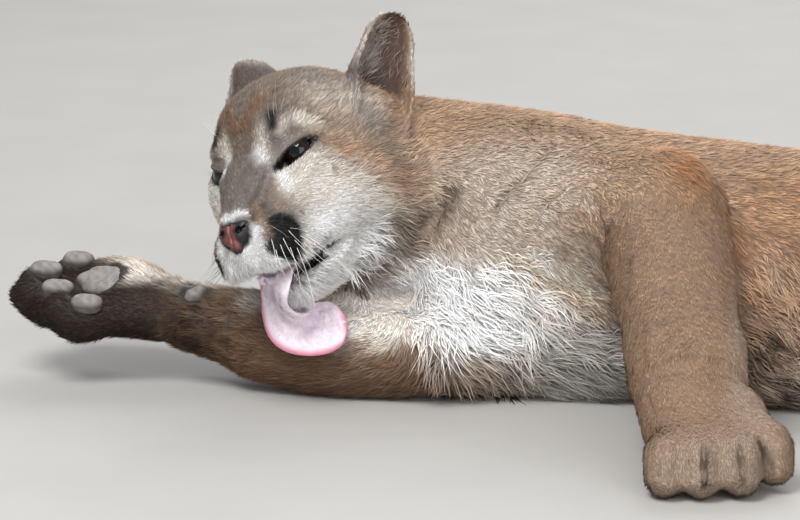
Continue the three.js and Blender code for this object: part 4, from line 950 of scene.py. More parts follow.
# the ears are grey-brown behind, with a pale rim, and bare and dusky pink in their hollow
behind = ear_share * (1 - hollow)
paint(linear(76, 68, 65), 0.9 * behind * np.clip(ear_height * 3, 0, 1))
paint(PALE, 0.75 * behind * np.clip((ear_height - 0.72) * 4, 0, 1))
rim = ear_share * np.clip((np.abs(ear_across) - 1.25) * 3, 0, 1) * np.clip((ear_height - 0.2) * 4, 0, 1)
paint(PALE, 0.7 * rim)
pink = hollow * np.clip((1.5 - np.abs(ear_across)) * 2, 0, 1)
paint(linear(74, 50, 43), 0.95 * pink)
paint(linear(100, 74, 65), 0.6 * pink * np.clip(0.4 + ripple(points, 5, 37), 0, 1))
# painted shade deep in the hollow, towards the ear's root
paint(DARK * 0.7, pink * np.clip(1.3 - ear_height * 2.8, 0, 1))

# the edges of the lids, and the black line that runs on from the eye's outer corner
lids = np.zeros(len(points))
for side in (1, -1):
    place = eye_place(side)
    lids = np.maximum(lids, groove(RIMS[side][[0, *range(1, RIM_POINTS, 3), 0]], 3.4))
    tail = [place.at(12, 19, -1), place.at(8, 25, 2), place.at(4, 30, 4)]
    lids = np.maximum(lids, groove(tail, 3.0))
    brow = groove(RIMS[side][8:30], 4.4)
    lids = np.maximum(lids, 0.9 * brow)
    paint(linear(70, 60, 60), groove([place.at(12, -20, -2), place.at(9, -26, -4)], 4.5))
paint(SOOT, np.clip(lids * 2.0 - 0.6, 0, 1))

# lips and the inside of the mouth: black lip edges, the pink front of the gums, and painted shade deeper in
# the mouth
ahead = local[:, 0]
middle_share = np.clip((ahead + 20) / 34, 0, 1)
front_share = np.clip((ahead - 14) / 50, 0, 1)
mouth_height = -82 - 12 * middle_share - 18 * front_share
gape = 5 + 3 * middle_share + 13 * front_share
facing = np.abs(normals @ HEAD.u)
inside_mouth = head_share * (np.abs(local[:, 2] - mouth_height) < gape) * (np.abs(local[:, 1]) < 46)
inside_mouth = inside_mouth * (ahead > -40) * (ahead < 62) * (facing > 0.45)
lips = smoothed(inside_mouth, edges, 2)
speckled = on_head((0, 0, -100), (26, 30, 14), 0.4) * np.clip(0.35 + 1.3 * ripple(points, 4.5, 41), 0, 1)
paint(DARK, 0.8 * speckled * (local[:, 2] > -108))
# near black on the lip edges and, as painted shade, on the walls inside the mouth
paint(linear(20, 15, 15), np.clip(lips * 2.4 - 0.8, 0, 1))
paint(linear(120, 74, 70), np.clip(lips * 2 - 1, 0, 1) * (ahead > 20))

# Coat
# Several hundred thousand short tufts, each a thin closed blade rooted in the skin. Every blade
# leans the way the coat lies, and blades that share a clump lean together. They carry the skin's
# own colours, darker at the root and paler at the tip, partly as the hair's own banding and partly
# as painted shade deep in the coat, with a painted highlight along each blade's top.
REGIONS = {
    "coat_face": ["head"],
    "coat_jaw_and_ears": ["lower_jaw", "ear_left", "ear_right"],
    "coat_neck": ["neck", "left_upper_arm"],
    "coat_left_foreleg": ["left_forearm", "left_forepaw"],
    "coat_right_foreleg": ["right_elbow", "right_forearm", "right_forepaw"],
    "coat_chest": ["chest"],
    "coat_belly_and_hips": ["belly", "hips"],
    "coat_hind_legs": [n for n in flesh if "thigh" in n or "shank" in n or "hind" in n],
    "coat_tail": ["tail_root", "tail_middle", "tail_end", "tail_tip"],
}
# the most triangles in a piece, and half the size of a blade's patch on its map
PIECE_LIMIT = 195000
PATCH = 0.0015
figures = np.array([COAT[n] for n in flesh], float)[part]
figures = smoothed(figures, edges, 12)
for i, value in enumerate(COAT["ear_left"]):
    figures[:, i] += (value - figures[:, i]) * ear_share
toward_nose = np.clip((ahead + 40) / 80, 0, 1) * head_share
figures[:, LENGTH] *= 1 - 0.5 * toward_nose
figures[:, WIDTH] *= 1 - 0.25 * toward_nose
figures[:, SPACING] *= 1 - 0.18 * toward_nose
figures[:, LENGTH] *= 1 - 0.5 * hollow
ruff = both_sides((-84, 76, -62), (46, 40, 44), 0.5)
hanging = both_sides((32, 22, -84), (30, 24, 9), 0.4) * head_share
chin = on_head((2, 0, -114), (36, 34, 16), 0.5) * head_share
figures[:, LENGTH] *= 1 + 0.5 * ruff + 1.7 * hanging + 1.1 * chin
figures[:, LENGTH] *= 1 - 0.4 * both_sides((0, 38, 0), (28, 27, 23), 0.5)

bare = np.clip(np.maximum(lids * 2.0 - 1.3, np.clip(lips * 2.4 - 1, 0, 1)), 0, 1)
bare = np.maximum(bare, 0.3 * pink)
# every fold parts the hair, the deeper creases of the neck, legs and paws most
for deep, _, line in FOLDS:
    parting = 0.9 if 2.8 < deep < 4.4 else 0.5
    bare = np.maximum(bare, parting * groove(line, 1.7))
for side in (1, -1):
    bare = np.maximum(bare, within(points, eye_place(side), (0, 0, 0), (16.5, 16.5, 16.5), 0.02))
bare = np.maximum(bare, within(points, NOSE, (0, 0, -2), (15, 16, 15), 0.08))
hairless = [(tree, PAD_REACH) for tree in soles]
hairless.append((surface_of(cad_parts["tongue"]), TONGUE_REACH))
for tree, reach in hairless:
    near = touching(tree, reach)
    bare = np.maximum(bare, np.array(near, float))
    # the skin round each pad and under the tongue is darkened: painted shade where they meet
    paint(DARK * 0.4, smoothed(near, edges, 1))

# the loose skin wrinkles finely across the neck, shoulder and legs, which parts the hair in rows;
# the tufts on each wrinkle's ridge are painted lighter and those in its trough darker, as painted light and
# shade
crepe = np.zeros(len(points))
CREPED = {
    "left_forearm": 1.5, "left_forepaw": 0.5, "left_upper_arm": 1.0, "chest": 0.8, "neck": 0.8,
    "right_forearm": 1.5, "right_elbow": 0.6, "right_forepaw": 0.8, "hips": 0.5, "belly": 0.5,
    "left_thigh": 0.5, "right_thigh": 0.5, "left_shank": 0.5, "right_shank": 0.5, "head": 0.3,
}
for stations, names, _ in LIMBS:
    run = along(points, stations)[1]
    phase = run / 8.5 + 0.55 * ripple(points, 26, 51) + 0.35 * ripple(points, 11, 52)
    amount = sum(CREPED.get(n, 0) * share_of(n, rounds=6) for n in names)
    crepe += amount * np.sin(2 * math.pi * phase) * mottle(34, 53, 0.3, 1.1)
crepe += 0.35 * head_share * ripple(points, 7, 54)

corner = points[triangles]
face_area = np.linalg.norm(np.cross(corner[:, 1] - corner[:, 0], corner[:, 2] - corner[:, 0]), axis=1) / 2
face_part = part[triangles[:, 0]]
SKULL = HEAD.at(-40, 0, -20)


def root_places(where, names):
    # the roots' places on an unwrap of the skin: round the head's middle, or round a limb's line
    if names[-1] in HEAD_PARTS:
        way = unit(HEAD.local(where) - HEAD.local(SKULL))
        angle = np.arccos(np.clip(way[:, 0], -1, 1)) / math.pi
        turn = np.arctan2(way[:, 1], way[:, 2])
        return np.stack([0.5 + 0.48 * angle * np.cos(turn), 0.5 + 0.48 * angle * np.sin(turn)], axis=1)
    stations = next(np.array(line, float) for line, parts, _ in LIMBS if names[-1] in parts)
    run = along(where, stations)[1]
    run = (run - run.min()) / max(np.ptp(run), 1)
    index = np.clip(np.searchsorted(np.linspace(0, 1, len(stations)), run), 1, len(stations) - 1)
    a, b = stations[index - 1], stations[index]
    axis = unit(b - a)
    side = unit(np.cross(axis, (0.1, 0.2, 1.0)))
    rest = where - a
    turn = np.arctan2(np.sum(rest * side, axis=1), np.sum(rest * np.cross(axis, side), axis=1))
    return np.stack([0.01 + 0.98 * run, 0.5 + 0.48 * turn / math.pi], axis=1)


def hair_material(name, roughness, grain_size):
    made, shader = finish_material(name, roughness)
    tree = made.node_tree
    tint = wire(tree, "ShaderNodeVertexColor", {"layer_name": "markings"})
    shade = wire(tree, "ShaderNodeMapRange", {"To Min": 0.8, "To Max": 1.2},
                 {"Value": noise(tree, grain_size)})
    mixed = wire(tree, "ShaderNodeVectorMath", {"operation": "SCALE"})
    tree.links.new(tint.outputs["Color"], mixed.inputs[0])
    tree.links.new(shade.outputs["Result"], mixed.inputs["Scale"])
    tree.links.new(mixed.outputs["Vector"], shader.inputs["Base Color"])
    shader.inputs["Specular IOR Level"].default_value = 0.14
    return made


coat_paint = hair_material("coat_hair", 0.6, 900.0)


def blades(lines, widths, across, up):
    # closed blades with a three-cornered section along lines of points: the corners and the faces
    count, rings = widths.shape
    corners = []
    for i in range(rings):
        core, wide = lines[:, i], widths[:, i, None]
        corners += [core + across * wide / 2, core - across * wide / 2, core + up * wide * 0.35]
    corners = np.stack(corners + [lines[:, rings]], axis=1)
    faces = [(0, 1, 2)]
    for a, b in ((1, 0), (2, 1), (0, 2)):
        for i in range(0, 3 * rings - 3, 3):
            faces += [(a + i, b + i, b + i + 3), (a + i, b + i + 3, a + i + 3)]
        faces.append((a + 3 * rings - 3, b + 3 * rings - 3, 3 * rings))
    return corners, np.array(faces)


def build(name, corners, soft, faces, shades, patch, paint_of):
    # one mesh of many blades, with its colours, its map and the skin's soft shading
    count, each = corners.shape[:2]
    index = (faces[None] + each * np.arange(count)[:, None, None]).reshape(-1, 3)
    made_mesh = bpy.data.meshes.new(name)
    made_mesh.vertices.add(count * each)
    made_mesh.loops.add(index.size)
    made_mesh.polygons.add(len(index))
    made_mesh.vertices.foreach_set("co", in_scene(corners.reshape(-1, 3)).astype(np.float32).ravel())
    made_mesh.loops.foreach_set("vertex_index", index.astype(np.int32).ravel())
    made_mesh.polygons.foreach_set("loop_start", np.arange(0, index.size, 3, dtype=np.int32))
    made_mesh.update(calc_edges=True)
    soften(made_mesh)
    uv = made_mesh.uv_layers.new(name="OFBake")
    uv.data.foreach_set("uv", patch.reshape(-1, 2)[index.ravel()].astype(np.float32).ravel())
    colour_points(made_mesh, np.clip(shades.reshape(-1, 3), 0.001, 0.95))
    made_mesh.normals_split_custom_set_from_vertices(unit(soft.reshape(-1, 3)).astype(np.float32))
    made_mesh.materials.append(paint_of)
    made = add_piece(name, made_mesh)
    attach(made, "root")


def rooted(chosen, density, draw):
    # random roots on some faces, as a face and three weights each
    weights = np.cumsum((face_area * density[triangles].mean(axis=1))[chosen])
    count = int(weights[-1])
    picks = (np.arange(count) + draw.random(count)) / count * weights[-1]
    face = chosen[np.minimum(np.searchsorted(weights, picks), len(chosen) - 1)]
    a, b = np.sqrt(draw.random(count)), draw.random(count)
    return face, np.stack([1 - a, a * (1 - b), a * b], axis=1)


def on_skin(values, face, weights):
    return np.einsum("ij,ijk->ik", weights, values.reshape(len(points), -1)[triangles[face]])


def clumped(roots, draw, size, spacing):
    # the nearest of some of the roots, which a tuft's tip leans to
    count = max(int(len(roots) * min(1, (spacing / size) ** 2)), 1)
    heads = draw.choice(len(roots), count, replace=False)
    tree = KDTree(count)
    for i, p in enumerate(roots[heads]):
        tree.insert(p, i)
    tree.balance()
    nearest = np.array([tree.find(p)[1] for p in roots])
    return heads[nearest], nearest


def grow(name, names, density, draw, rings, clump_size, ends, spread=1.0, curl=0.0, sizes=None, tinted=None,
         pull=0.5):
    # tufts over some parts of the skin: their length, width and rise come from the skin's figures
    chosen = np.flatnonzero(among(face_part, *names))
    face, weights = rooted(chosen, density, draw)
    count = len(face)
    root = on_skin(points, face, weights)
    up = unit(on_skin(normals, face, weights))
    way = on_skin(lie, face, weights)
    way = unit(way - np.sum(way * up, axis=1, keepdims=True) * up)
    size = on_skin(figures if sizes is None else sizes, face, weights)
    tint = on_skin(colour if tinted is None else tinted, face, weights)
    wrinkle = on_skin(crepe, face, weights)[:, 0]
    head_of, clump = clumped(root, draw, clump_size, size[:, SPACING].mean())
    clump_draw = draw.normal(size=(clump.max() + 1, 4))[clump]
    swerve = spread * (0.13 * draw.normal(size=count) + 0.14 * clump_draw[:, 0])
    way = unit(way + swerve[:, None] * np.cross(up, way))
    across = np.cross(up, way)
    tilt = 1 + 0.22 * draw.normal(size=count) + 0.25 * clump_draw[:, 1] + 0.3 * wrinkle
    rise = np.clip(np.radians(size[:, RISE]) * tilt, 0.05, 1.2)
    long = size[:, LENGTH] * draw.uniform(0.75, 1.2, count) * (1 + 0.1 * clump_draw[:, 3])
    wide = size[:, WIDTH] * draw.uniform(0.75, 1.2, count)
    bend = curl * (0.6 * draw.normal(size=count) + clump_draw[:, 2])
    steps = np.linspace(0, 1, rings + 1)
    lines = []
    for t in steps:
        lift = rise * (1.25 - 0.45 * t) if rings > 1 else rise
        reach = long * t
        side = (bend * reach * np.sin(t * 2.6))[:, None] * across
        onward = (reach * np.cos(lift))[:, None] * way
        lines.append(root + onward + (reach * np.sin(lift))[:, None] * up + side)
    lines = np.stack(lines, axis=1)
    gap = root[head_of] - root
    near = pull * np.clip(1.2 - np.linalg.norm(gap, axis=1) / (1.6 * clump_size), 0, 1)
    lines += (near[:, None, None] * gap[:, None, :]) * (steps**1.5)[:, None]
    lines[:, 0] -= 0.5 * up
    lines[..., 2] = np.maximum(lines[..., 2], HAIR_FLOOR)
    shape = np.interp(steps[:-1], (0, 0.5, 1), (1, 1.05, 0.5))
    corners, faces = blades(lines, wide[:, None] * shape, across, up)
    corners[..., 2] = np.maximum(corners[..., 2], HAIR_EDGE_FLOOR)
    tip_way = unit(lines[:, -1] - lines[:, -2])
    jitter = 0.22 * draw.normal(size=(count, 1)) * across + 0.12 * draw.normal(size=(count, 1)) * way
    soft = []
    shades = []
    patch = []
    place = root_places(root, names)
    # random tone per tuft and per clump, and painted light and shade that follow the skin's wrinkles
    uneven = 0.12 * draw.normal(size=count) + 0.15 * clump_draw[:, 2] + 0.24 * wrinkle
    tint = tint * np.clip(1 + (ends[1] - ends[0]) * uneven, 0.35, 1.8)[:, None]
    # tufts darker at the root than at the tip: partly the hair's own banding, partly painted shade deep in
    # the coat; white hair keeps lighter roots
    low = ends[0] + 0.4 * tint.min(axis=1, keepdims=True)
    for i, t in enumerate(steps[:-1]):
        shade = low + (ends[1] - low) * np.interp(t, (0, 0.35, 1), (0, 0.5, 1))
        # each blade's upper corner is a quarter brighter than its two lower ones: a painted highlight along
        # its top
        for lean, top_highlight in ((0.35, 1), (-0.35, 1), (0, 1.25)):
            soft.append(up + lean * across + jitter)
            shades.append(tint * shade * top_highlight)
            patch.append(place + PATCH * np.array((lean * 2.8, 2 * t - 1)))
    soft.append(up + 0.25 * tip_way + jitter)
    shades.append(tint * ends[1])
    patch.append(place + PATCH * np.array((0, 1)))
    soft, shades, patch = (np.stack(rows, axis=1) for rows in (soft, shades, patch))
    pieces = math.ceil(count * len(faces) / PIECE_LIMIT)
    share = math.ceil(count / pieces)
    for k in range(pieces):
        one = slice(k * share, min((k + 1) * share, count))
        label = f"{name}_{k + 1}" if pieces > 1 else name
        build(label, corners[one], soft[one], faces, shades[one], patch[one], coat_paint)


density = np.clip(1 - bare, 0, 1) / figures[:, SPACING] ** 2
for number, (name, names) in enumerate(REGIONS.items()):
    draw = np.random.default_rng(100 + number)
    # the tufts' brightness at the root and at the tip in each region; the dark roots are partly banding,
    # partly painted shade
    ends, clump_size = (0.42, 1.8), 4.2
    if "foreleg" in name:
        ends, clump_size = (0.68, 1.28), 3
    elif name in ("coat_face", "coat_jaw_and_ears", "coat_neck"):
        ends, clump_size = (0.5, 1.55), 3.4
    grow(name, names, density, draw, 1, clump_size, ends)

# Long locks
# The ruff behind the cheeks, the throat, the chest and the flanks carry long soft locks over the
# short coat. They are dark at the root and pale at the tip, partly their own banding and partly
# painted shade, and they wave.
locks = figures.copy()
fluffy = loose * np.clip(1 - head_share - share_of("right_forearm", "left_forearm", rounds=4), 0, 1)
flank = np.maximum(on_body((325, -60, 62), (64, 60, 70), 0.4),
                   on_body((500, -60, 30), (150, 80, 40), 0.4)) * (1 - head_share)
under_jaw = head_share * on_head((-70, 30, -96), (34, 60, 26), 0.4)
cheek_edge = both_sides((-92, 80, -64), (34, 34, 46), 0.35) * head_share
shaggy = np.clip(fluffy + flank + under_jaw + 0.3 * cheek_edge, 0, 1)
locks[:, LENGTH] = 25 * fluffy + 20 * flank + 15 * under_jaw + 4 * cheek_edge + 8
locks[:, WIDTH] = 1.05
locks[:, RISE] = 13 + 4 * fluffy
locks[:, SPACING] = 2.5
density = shaggy * (1 - bare) / 2.5**2
draw = np.random.default_rng(200)
grow("long_locks", [*flesh, "chest"], density, draw, 2, 9, (0.34, 1.5), 1.5, 0.3, locks, pull=0.85)

# Hair of the ears
# Long pale hairs fringe the front edge of each ear inside, and a white tuft fills its root.
for side, word in ((1, "left"), (-1, "right")):
    mine = of_ear(side)
    front_edge = np.clip(np.maximum((0.35 - ear_across) * 1.6, 0.13), 0, 1)
    fringe = mine * hollow * front_edge * np.clip((0.97 - ear_height) * 6, 0, 1)
    root_tuft = np.maximum(mine * hollow * np.clip(1.4 - ear_height * 6, 0, 1),
                           head_share * within(points, EARS[side], (12, 13 * side, 20), (11, 12, 13), 0.5))
    root_tuft *= np.clip(0.5 - 2 * ear_across * mine, 0, 1)
    hairs = figures.copy()
    low_share = np.clip(1.25 - ear_height, 0.3, 1)
    inner_share = np.clip(1.6 - np.abs(ear_across) * 0.7, 0.4, 1)
    hairs[:, LENGTH] = 17 * low_share * inner_share + 6 * root_tuft
    hairs[:, WIDTH] = 0.7
    hairs[:, RISE] = 15 + 16 * root_tuft
    hairs[:, SPACING] = 2.0
    draw = np.random.default_rng(210 + side)
    names = [f"ear_{word}", "head"]
    density = (fringe + root_tuft) * 0.3
    pale_tips = colour + (0.25 + 0.5 * fringe[:, None]) * (CREAM * 0.42 - colour)
    pale_tips += np.clip(root_tuft, 0, 1)[:, None] * (CREAM * 0.7 - pale_tips)
    grow(f"ear_hair_{word}", names, density, draw, 2, 5, (0.3, 1.2), 2.2, 0.2, hairs, pale_tips)

# Nose
# The nose is bare leather: brick red in front, black on the wings and rim, with comma-shaped
# nostrils, a groove down its middle and a fine pebbled grain. It is kept moist.
def run_together(name, eggs, cell, place):
    # several eggs run together into one smooth closed form
    lumps = []
    for centre, halves in eggs:
        lumps.append(ball("lump", Place(place.at(*centre), place.f, place.l), halves, 16))
    for lump in lumps:
        lump.select_set(True)
    bpy.context.view_layer.objects.active = lumps[0]
    bpy.ops.object.join()
    made = bpy.context.object
    made.name = name
    made.data.name = name
    apply_modifier(made, "REMESH", mode="VOXEL", voxel_size=cell * MM, adaptivity=0)
    put_points(made.data, smoothed(points_of(made.data), edges_of(made.data), 10))
    return made


nose = run_together("nose", [
    ((0, 0, 0), (13, 14, 12)), ((-1, 9.5, 1.5), (12, 7.4, 9.5)), ((-1, -9.5, 1.5), (12, 7.4, 9.5)),
    ((-3, 0, 8), (11.5, 15.5, 6.5)), ((1, 0, -10), (10, 6.5, 9)), ((4, 6, -3), (9, 6, 8)),
    ((4, -6, -3), (9, 6, 8)),
], 0.7, NOSE)
for side in (1, -1):
    bore = Place(NOSE.at(12, side * 8.6, -1.5), NOSE.f + 0.35 * side * NOSE.l, NOSE.l)
    slot = Place(NOSE.at(9, side * 14, 1.5), NOSE.f + 0.6 * side * NOSE.l, NOSE.l + 0.6 * side * NOSE.u)
    carve(nose, ball("bore", bore, (6.5, 3.2, 3.6), 16), ball("slot", slot, (4.5, 5, 1.2), 16))
spots = points_of(nose.data)
away = unit(normals_of(nose.data))
spot = NOSE.local(spots)
middle_groove = np.exp(-((spot[:, 1] / 1.2) ** 2)) * (spot[:, 2] < 7)
put_points(nose.data, spots - away * (1.3 * middle_groove * np.clip((9 - spot[:, 2]) / 6, 0, 1))[:, None])
leather = np.tile(linear(106, 56, 50), (len(spots), 1))
uneven = 0.3 * ripple(spots, 9, 61)
black = np.clip((spot[:, 1] - 3.6 + 3 * uneven) / 2.2, 0, 1)
black = np.maximum(black, np.clip((-spot[:, 1] - 12 + 3 * uneven) / 3, 0, 1))
black = np.maximum(black, np.clip((spot[:, 2] - 6.5 + 3 * uneven) / 2.2, 0, 1))
black = np.maximum(black, np.clip((-spot[:, 2] - 14 + 3 * uneven) / 3, 0, 1))
# black round each nostril: partly its dark rim, partly painted shade down the inside of the bore
for side in (1, -1):
    black = np.maximum(black, within(spots, NOSE, (10, side * 8, -1.5), (7, 5, 5), 0.25))
leather = leather + np.clip(black, 0, 1)[:, None] * (linear(34, 30, 33) - leather)
colour_points(nose.data, leather)
soften(nose.data)
nose_paint, shader = marked_material("nose_leather", 0.38)
tree = nose_paint.node_tree
pebbles = wire(tree, "ShaderNodeTexVoronoi", {"Scale": 1100.0}, {"Vector": object_places(tree)})
roughen(tree, shader, pebbles.outputs["Distance"], 0.55, 0.0003)
nose.data.materials.clear()
nose.data.materials.append(nose_paint)
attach(nose, "root")
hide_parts("nose_pad")

# Tongue
# The tongue comes out over the lower lip, turns over and lies with its rough upper side spread on
# the foreleg. Its middle is lilac pink under pale spines, and its rim is a redder pink.
TONGUE = [
    (HEAD.at(-30, 0, -93), HEAD.u, 12), (HEAD.at(-6, 1, -93.5), HEAD.u, 15),
    (HEAD.at(14, 3, -93), HEAD.u + 0.3 * HEAD.f, 16.5), (HEAD.at(29, 5, -98), HEAD.f + 0.4 * HEAD.u, 17.5),
    ((-101, -53.5, 94), (-0.66, -0.72, 0.16), 19), ((-91, -41, 73), (-0.4, -0.84, 0.36), 22),
    ((-74, -34, 65), (-0.05, -0.78, 0.62), 24), ((-57, -33.5, 68), (-0.05, -0.78, 0.62), 22.5),
    ((-44, -33.5, 71.5), (-0.05, -0.78, 0.62), 15),
]


def through(values, steps):
    # a smooth curve through rows of values
    values = np.asarray(values, float)
    padded = np.concatenate([[2 * values[0] - values[1]], values, [2 * values[-1] - values[-2]]])
    t = np.linspace(0, len(values) - 1, steps)
    i = np.minimum(t.astype(int), len(values) - 2)
    s = (t - i)[:, None]
    a, b, c, d = padded[i], padded[i + 1], padded[i + 2], padded[i + 3]
    return 0.5 * (2 * b + (c - a) * s + (2 * a - 5 * b + 4 * c - d) * s**2 + (3 * b - a - 3 * c + d) * s**3)


ROWS, SECTION = 90, 48
middle = through([at for at, _, _ in TONGUE], ROWS)
outward = unit(through([unit(out) for _, out, _ in TONGUE], ROWS))
half_width = through([[wide] for _, _, wide in TONGUE], ROWS)[:, 0]
half_width *= np.clip(1 - (np.clip(np.arange(ROWS) / (ROWS - 1) - 0.9, 0, 1) / 0.1) ** 2.4, 0.02, 1) ** 0.5
heading = unit(np.gradient(middle, axis=0))
outward = unit(outward - np.sum(outward * heading, axis=1, keepdims=True) * heading)
sideways = np.cross(outward, heading)
turn = np.arange(SECTION) * 2 * math.pi / SECTION
across = np.sign(np.cos(turn)) * np.abs(np.cos(turn)) ** 0.8
over = np.sign(np.sin(turn)) * np.abs(np.sin(turn)) ** 0.75
crease = np.exp(-((across / 0.1) ** 2)) * (over > 0)
thick = 3.0 * np.clip(half_width / 14, 0.15, 1)
raised = over * thick[:, None] - 0.9 * crease * (half_width > 10)[:, None] + 0.9 * (np.abs(across) ** 3 - 0.3)
spots = (middle[:, None] + (across * half_width[:, None])[..., None] * sideways[:, None]
         + raised[..., None] * outward[:, None]).reshape(-1, 3)
spots += 0.35 * ripple(spots, 9, 71)[:, None] * np.repeat(outward, SECTION, axis=0)
tongue = ringed("tongue_flesh", spots, SECTION)
edge = np.tile(np.where(across < 0, -across, 0.75 * across), ROWS)
upper = np.tile((over > -0.2) | (across > 0.4), ROWS)
end = np.repeat(np.clip((np.arange(ROWS) / (ROWS - 1) - 0.9) / 0.1, 0, 1), SECTION)
flesh_colour = np.tile(linear(248, 236, 246), (len(spots), 1))
rosy = np.clip(np.maximum((edge - 0.7) * 4.5, end * 1.4 - 0.3) + ~upper, 0, 1)[:, None]
rosy *= np.repeat(np.clip((np.arange(ROWS) - 34) / 8, 0.2, 1), SECTION)[:, None]
flesh_colour += rosy * (linear(200, 128, 146) - flesh_colour)
pale_crease = np.tile(crease, ROWS)[:, None]
flesh_colour += 0.7 * pale_crease * (linear(236, 216, 222) - flesh_colour)
streaks = np.clip(0.5 + ripple(spots, 5, 72), 0, 1)[:, None] * (1 - rosy)
flesh_colour += 0.6 * streaks * (linear(230, 208, 226) - flesh_colour)
# the part of the tongue inside the mouth is painted dark red-brown: painted shade of the mouth
deep = np.repeat(np.clip((31 - np.arange(ROWS)) / 7, 0, 1), SECTION)[:, None]
flesh_colour += 0.93 * deep * (linear(52, 27, 28) - flesh_colour)
colour_points(tongue.data, flesh_colour)
tongue_paint, shader = marked_material("tongue_flesh", 0.42)
roughen(tongue_paint.node_tree, shader, noise(tongue_paint.node_tree, 900.0, 3.0), 0.5, 0.0005)
shader.inputs["Subsurface Weight"].default_value = 0.15
shader.inputs["Subsurface Radius"].default_value = (0.004, 0.0015, 0.001)
tongue.data.materials.append(tongue_paint)
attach(tongue, "root")
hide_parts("tongue")

# the tongue's spines: small straight cones scattered over its upper side, all leaning back to the throat
SPINES = 2600
draw = np.random.default_rng(72)
row = draw.uniform(0.18, 0.95, SPINES) * (ROWS - 1)
place = draw.uniform(-0.72, 0.72, SPINES)
i = row.astype(int)
base = middle[i] + (place * half_width[i])[:, None] * sideways[i] + (thick[i] * 0.95)[:, None] * outward[i]
lean = unit(-0.8 * heading[i] + 0.55 * outward[i] + 0.1 * draw.normal(size=(SPINES, 3)))
tip = base + lean * draw.uniform(0.9, 1.7, (SPINES, 1))
lines = np.stack([base - 0.4 * outward[i], tip], axis=1)
corners, faces = blades(lines, np.full((SPINES, 1), 0.6), -sideways[i], outward[i])
soft = np.repeat(outward[i][:, None], 4, axis=1)
shades = np.tile(linear(228, 204, 220), (SPINES, 4, 1)) * np.array((0.95, 0.95, 1, 1.1))[:, None]
patch = np.stack([0.05 + 0.9 * row / ROWS, 0.5 + 0.45 * place], axis=1)[:, None] + np.zeros((SPINES, 4, 1))
patch = patch + PATCH * np.array(((-1, -1), (1, -1), (0, -0.4), (0, 1)))
build("tongue_spines", corners, soft, faces, shades, patch, tongue_paint)

# Pads
# The soles are bare leather, pale grey and finely cracked, one pad under each toe, a lobed one
# under the palm and a small one behind the wrist.
pad_paint, shader = marked_material("pad_leather", 0.62)
tree = pad_paint.node_tree
cracks = wire(tree, "ShaderNodeTexVoronoi", {"Scale": 620.0, "feature": "DISTANCE_TO_EDGE"},
              {"Vector": object_places(tree)})
rough = wire(tree, "ShaderNodeMath", {"operation": "ADD"},
             {0: cracks.outputs["Distance"], 1: noise(tree, 900.0, 4.0)})
roughen(tree, shader, rough.outputs["Value"], 0.6, 0.0005)
PAW = Place((-256, 60, 67), (-0.99, 0.12, 0.05), (0.12, 0.97, 0.17))
HIND_PAW = Place((438, -276, 36), (-0.95, -0.28, -0.05), (0.07, -0.39, 0.88))
WRIST = Place((-173, 33, 77), (-0.86, 0.1, -0.5), (0.1, 1, 0.1))
for name in pads:
    low, high = (from_scene(corner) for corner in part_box(name))
    mesh_points = points_of(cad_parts[name].data)
    place = HIND_PAW if "hind" in name else WRIST if "wrist" in name else PAW
    place = Place((low + high) / 2 + 2.2 * place.u, place.f, place.l)
    spot = place.local(mesh_points)
    halves = (spot.max(axis=0) - spot.min(axis=0)) / 2
    lobed = "palm" in name or "sole" in name

    def cushion(local):
        round_off = np.abs(local / halves)
        swell = (np.sum(round_off**2.6, axis=1) ** (1 / 2.6))[:, None]
        local = local / np.maximum(swell, 0.2)
        if lobed:
            sides_of = local[:, 1] / halves[1]
            local[:, 0] *= 1 + 0.12 * np.cos(sides_of * 5.5)
            local[:, 2] *= 1 - 0.2 * np.exp(-(((np.abs(sides_of) - 0.42) / 0.12) ** 2))
        return local * (1 + 0.012 * ripple(local, 6, 81))[:, None]

    pad = ball(f"{name}_leather", place, halves, 28, cushion)
    spots = points_of(pad.data)
    greys = np.tile(linear(112, 107, 103), (len(spots), 1))
    greys += np.clip(0.5 + 0.8 * ripple(spots, 8, 82), 0, 1)[:, None] * (linear(146, 141, 136) - greys) * 0.6
    rim = np.clip(1 - np.abs(place.local(spots)[:, 2]) / halves[2] * 1.3, 0, 1)[:, None]
    greys += 0.88 * rim * (linear(70, 62, 58) - greys)
    colour_points(pad.data, greys)
    pad.data.materials.append(pad_paint)
    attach(pad, "root")
    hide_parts(name)

# Whiskers and lashes
# Stiff white whiskers stand in rows in the black pads and sweep back and down. Finer ones grow over
# the eyes and on the cheeks, and short dark lashes along the upper lids.
finished = surface_of(skin)


def rooted_at(place):
    # the point of the finished skin nearest to a place
    return from_scene(finished.find_nearest(Vector(in_scene(place)))[0])


def on_side(place, side):
    # a place on the head, or with side -1 its mirror image
    return HEAD.spread(HEAD.local(place) * (1, side, 1))


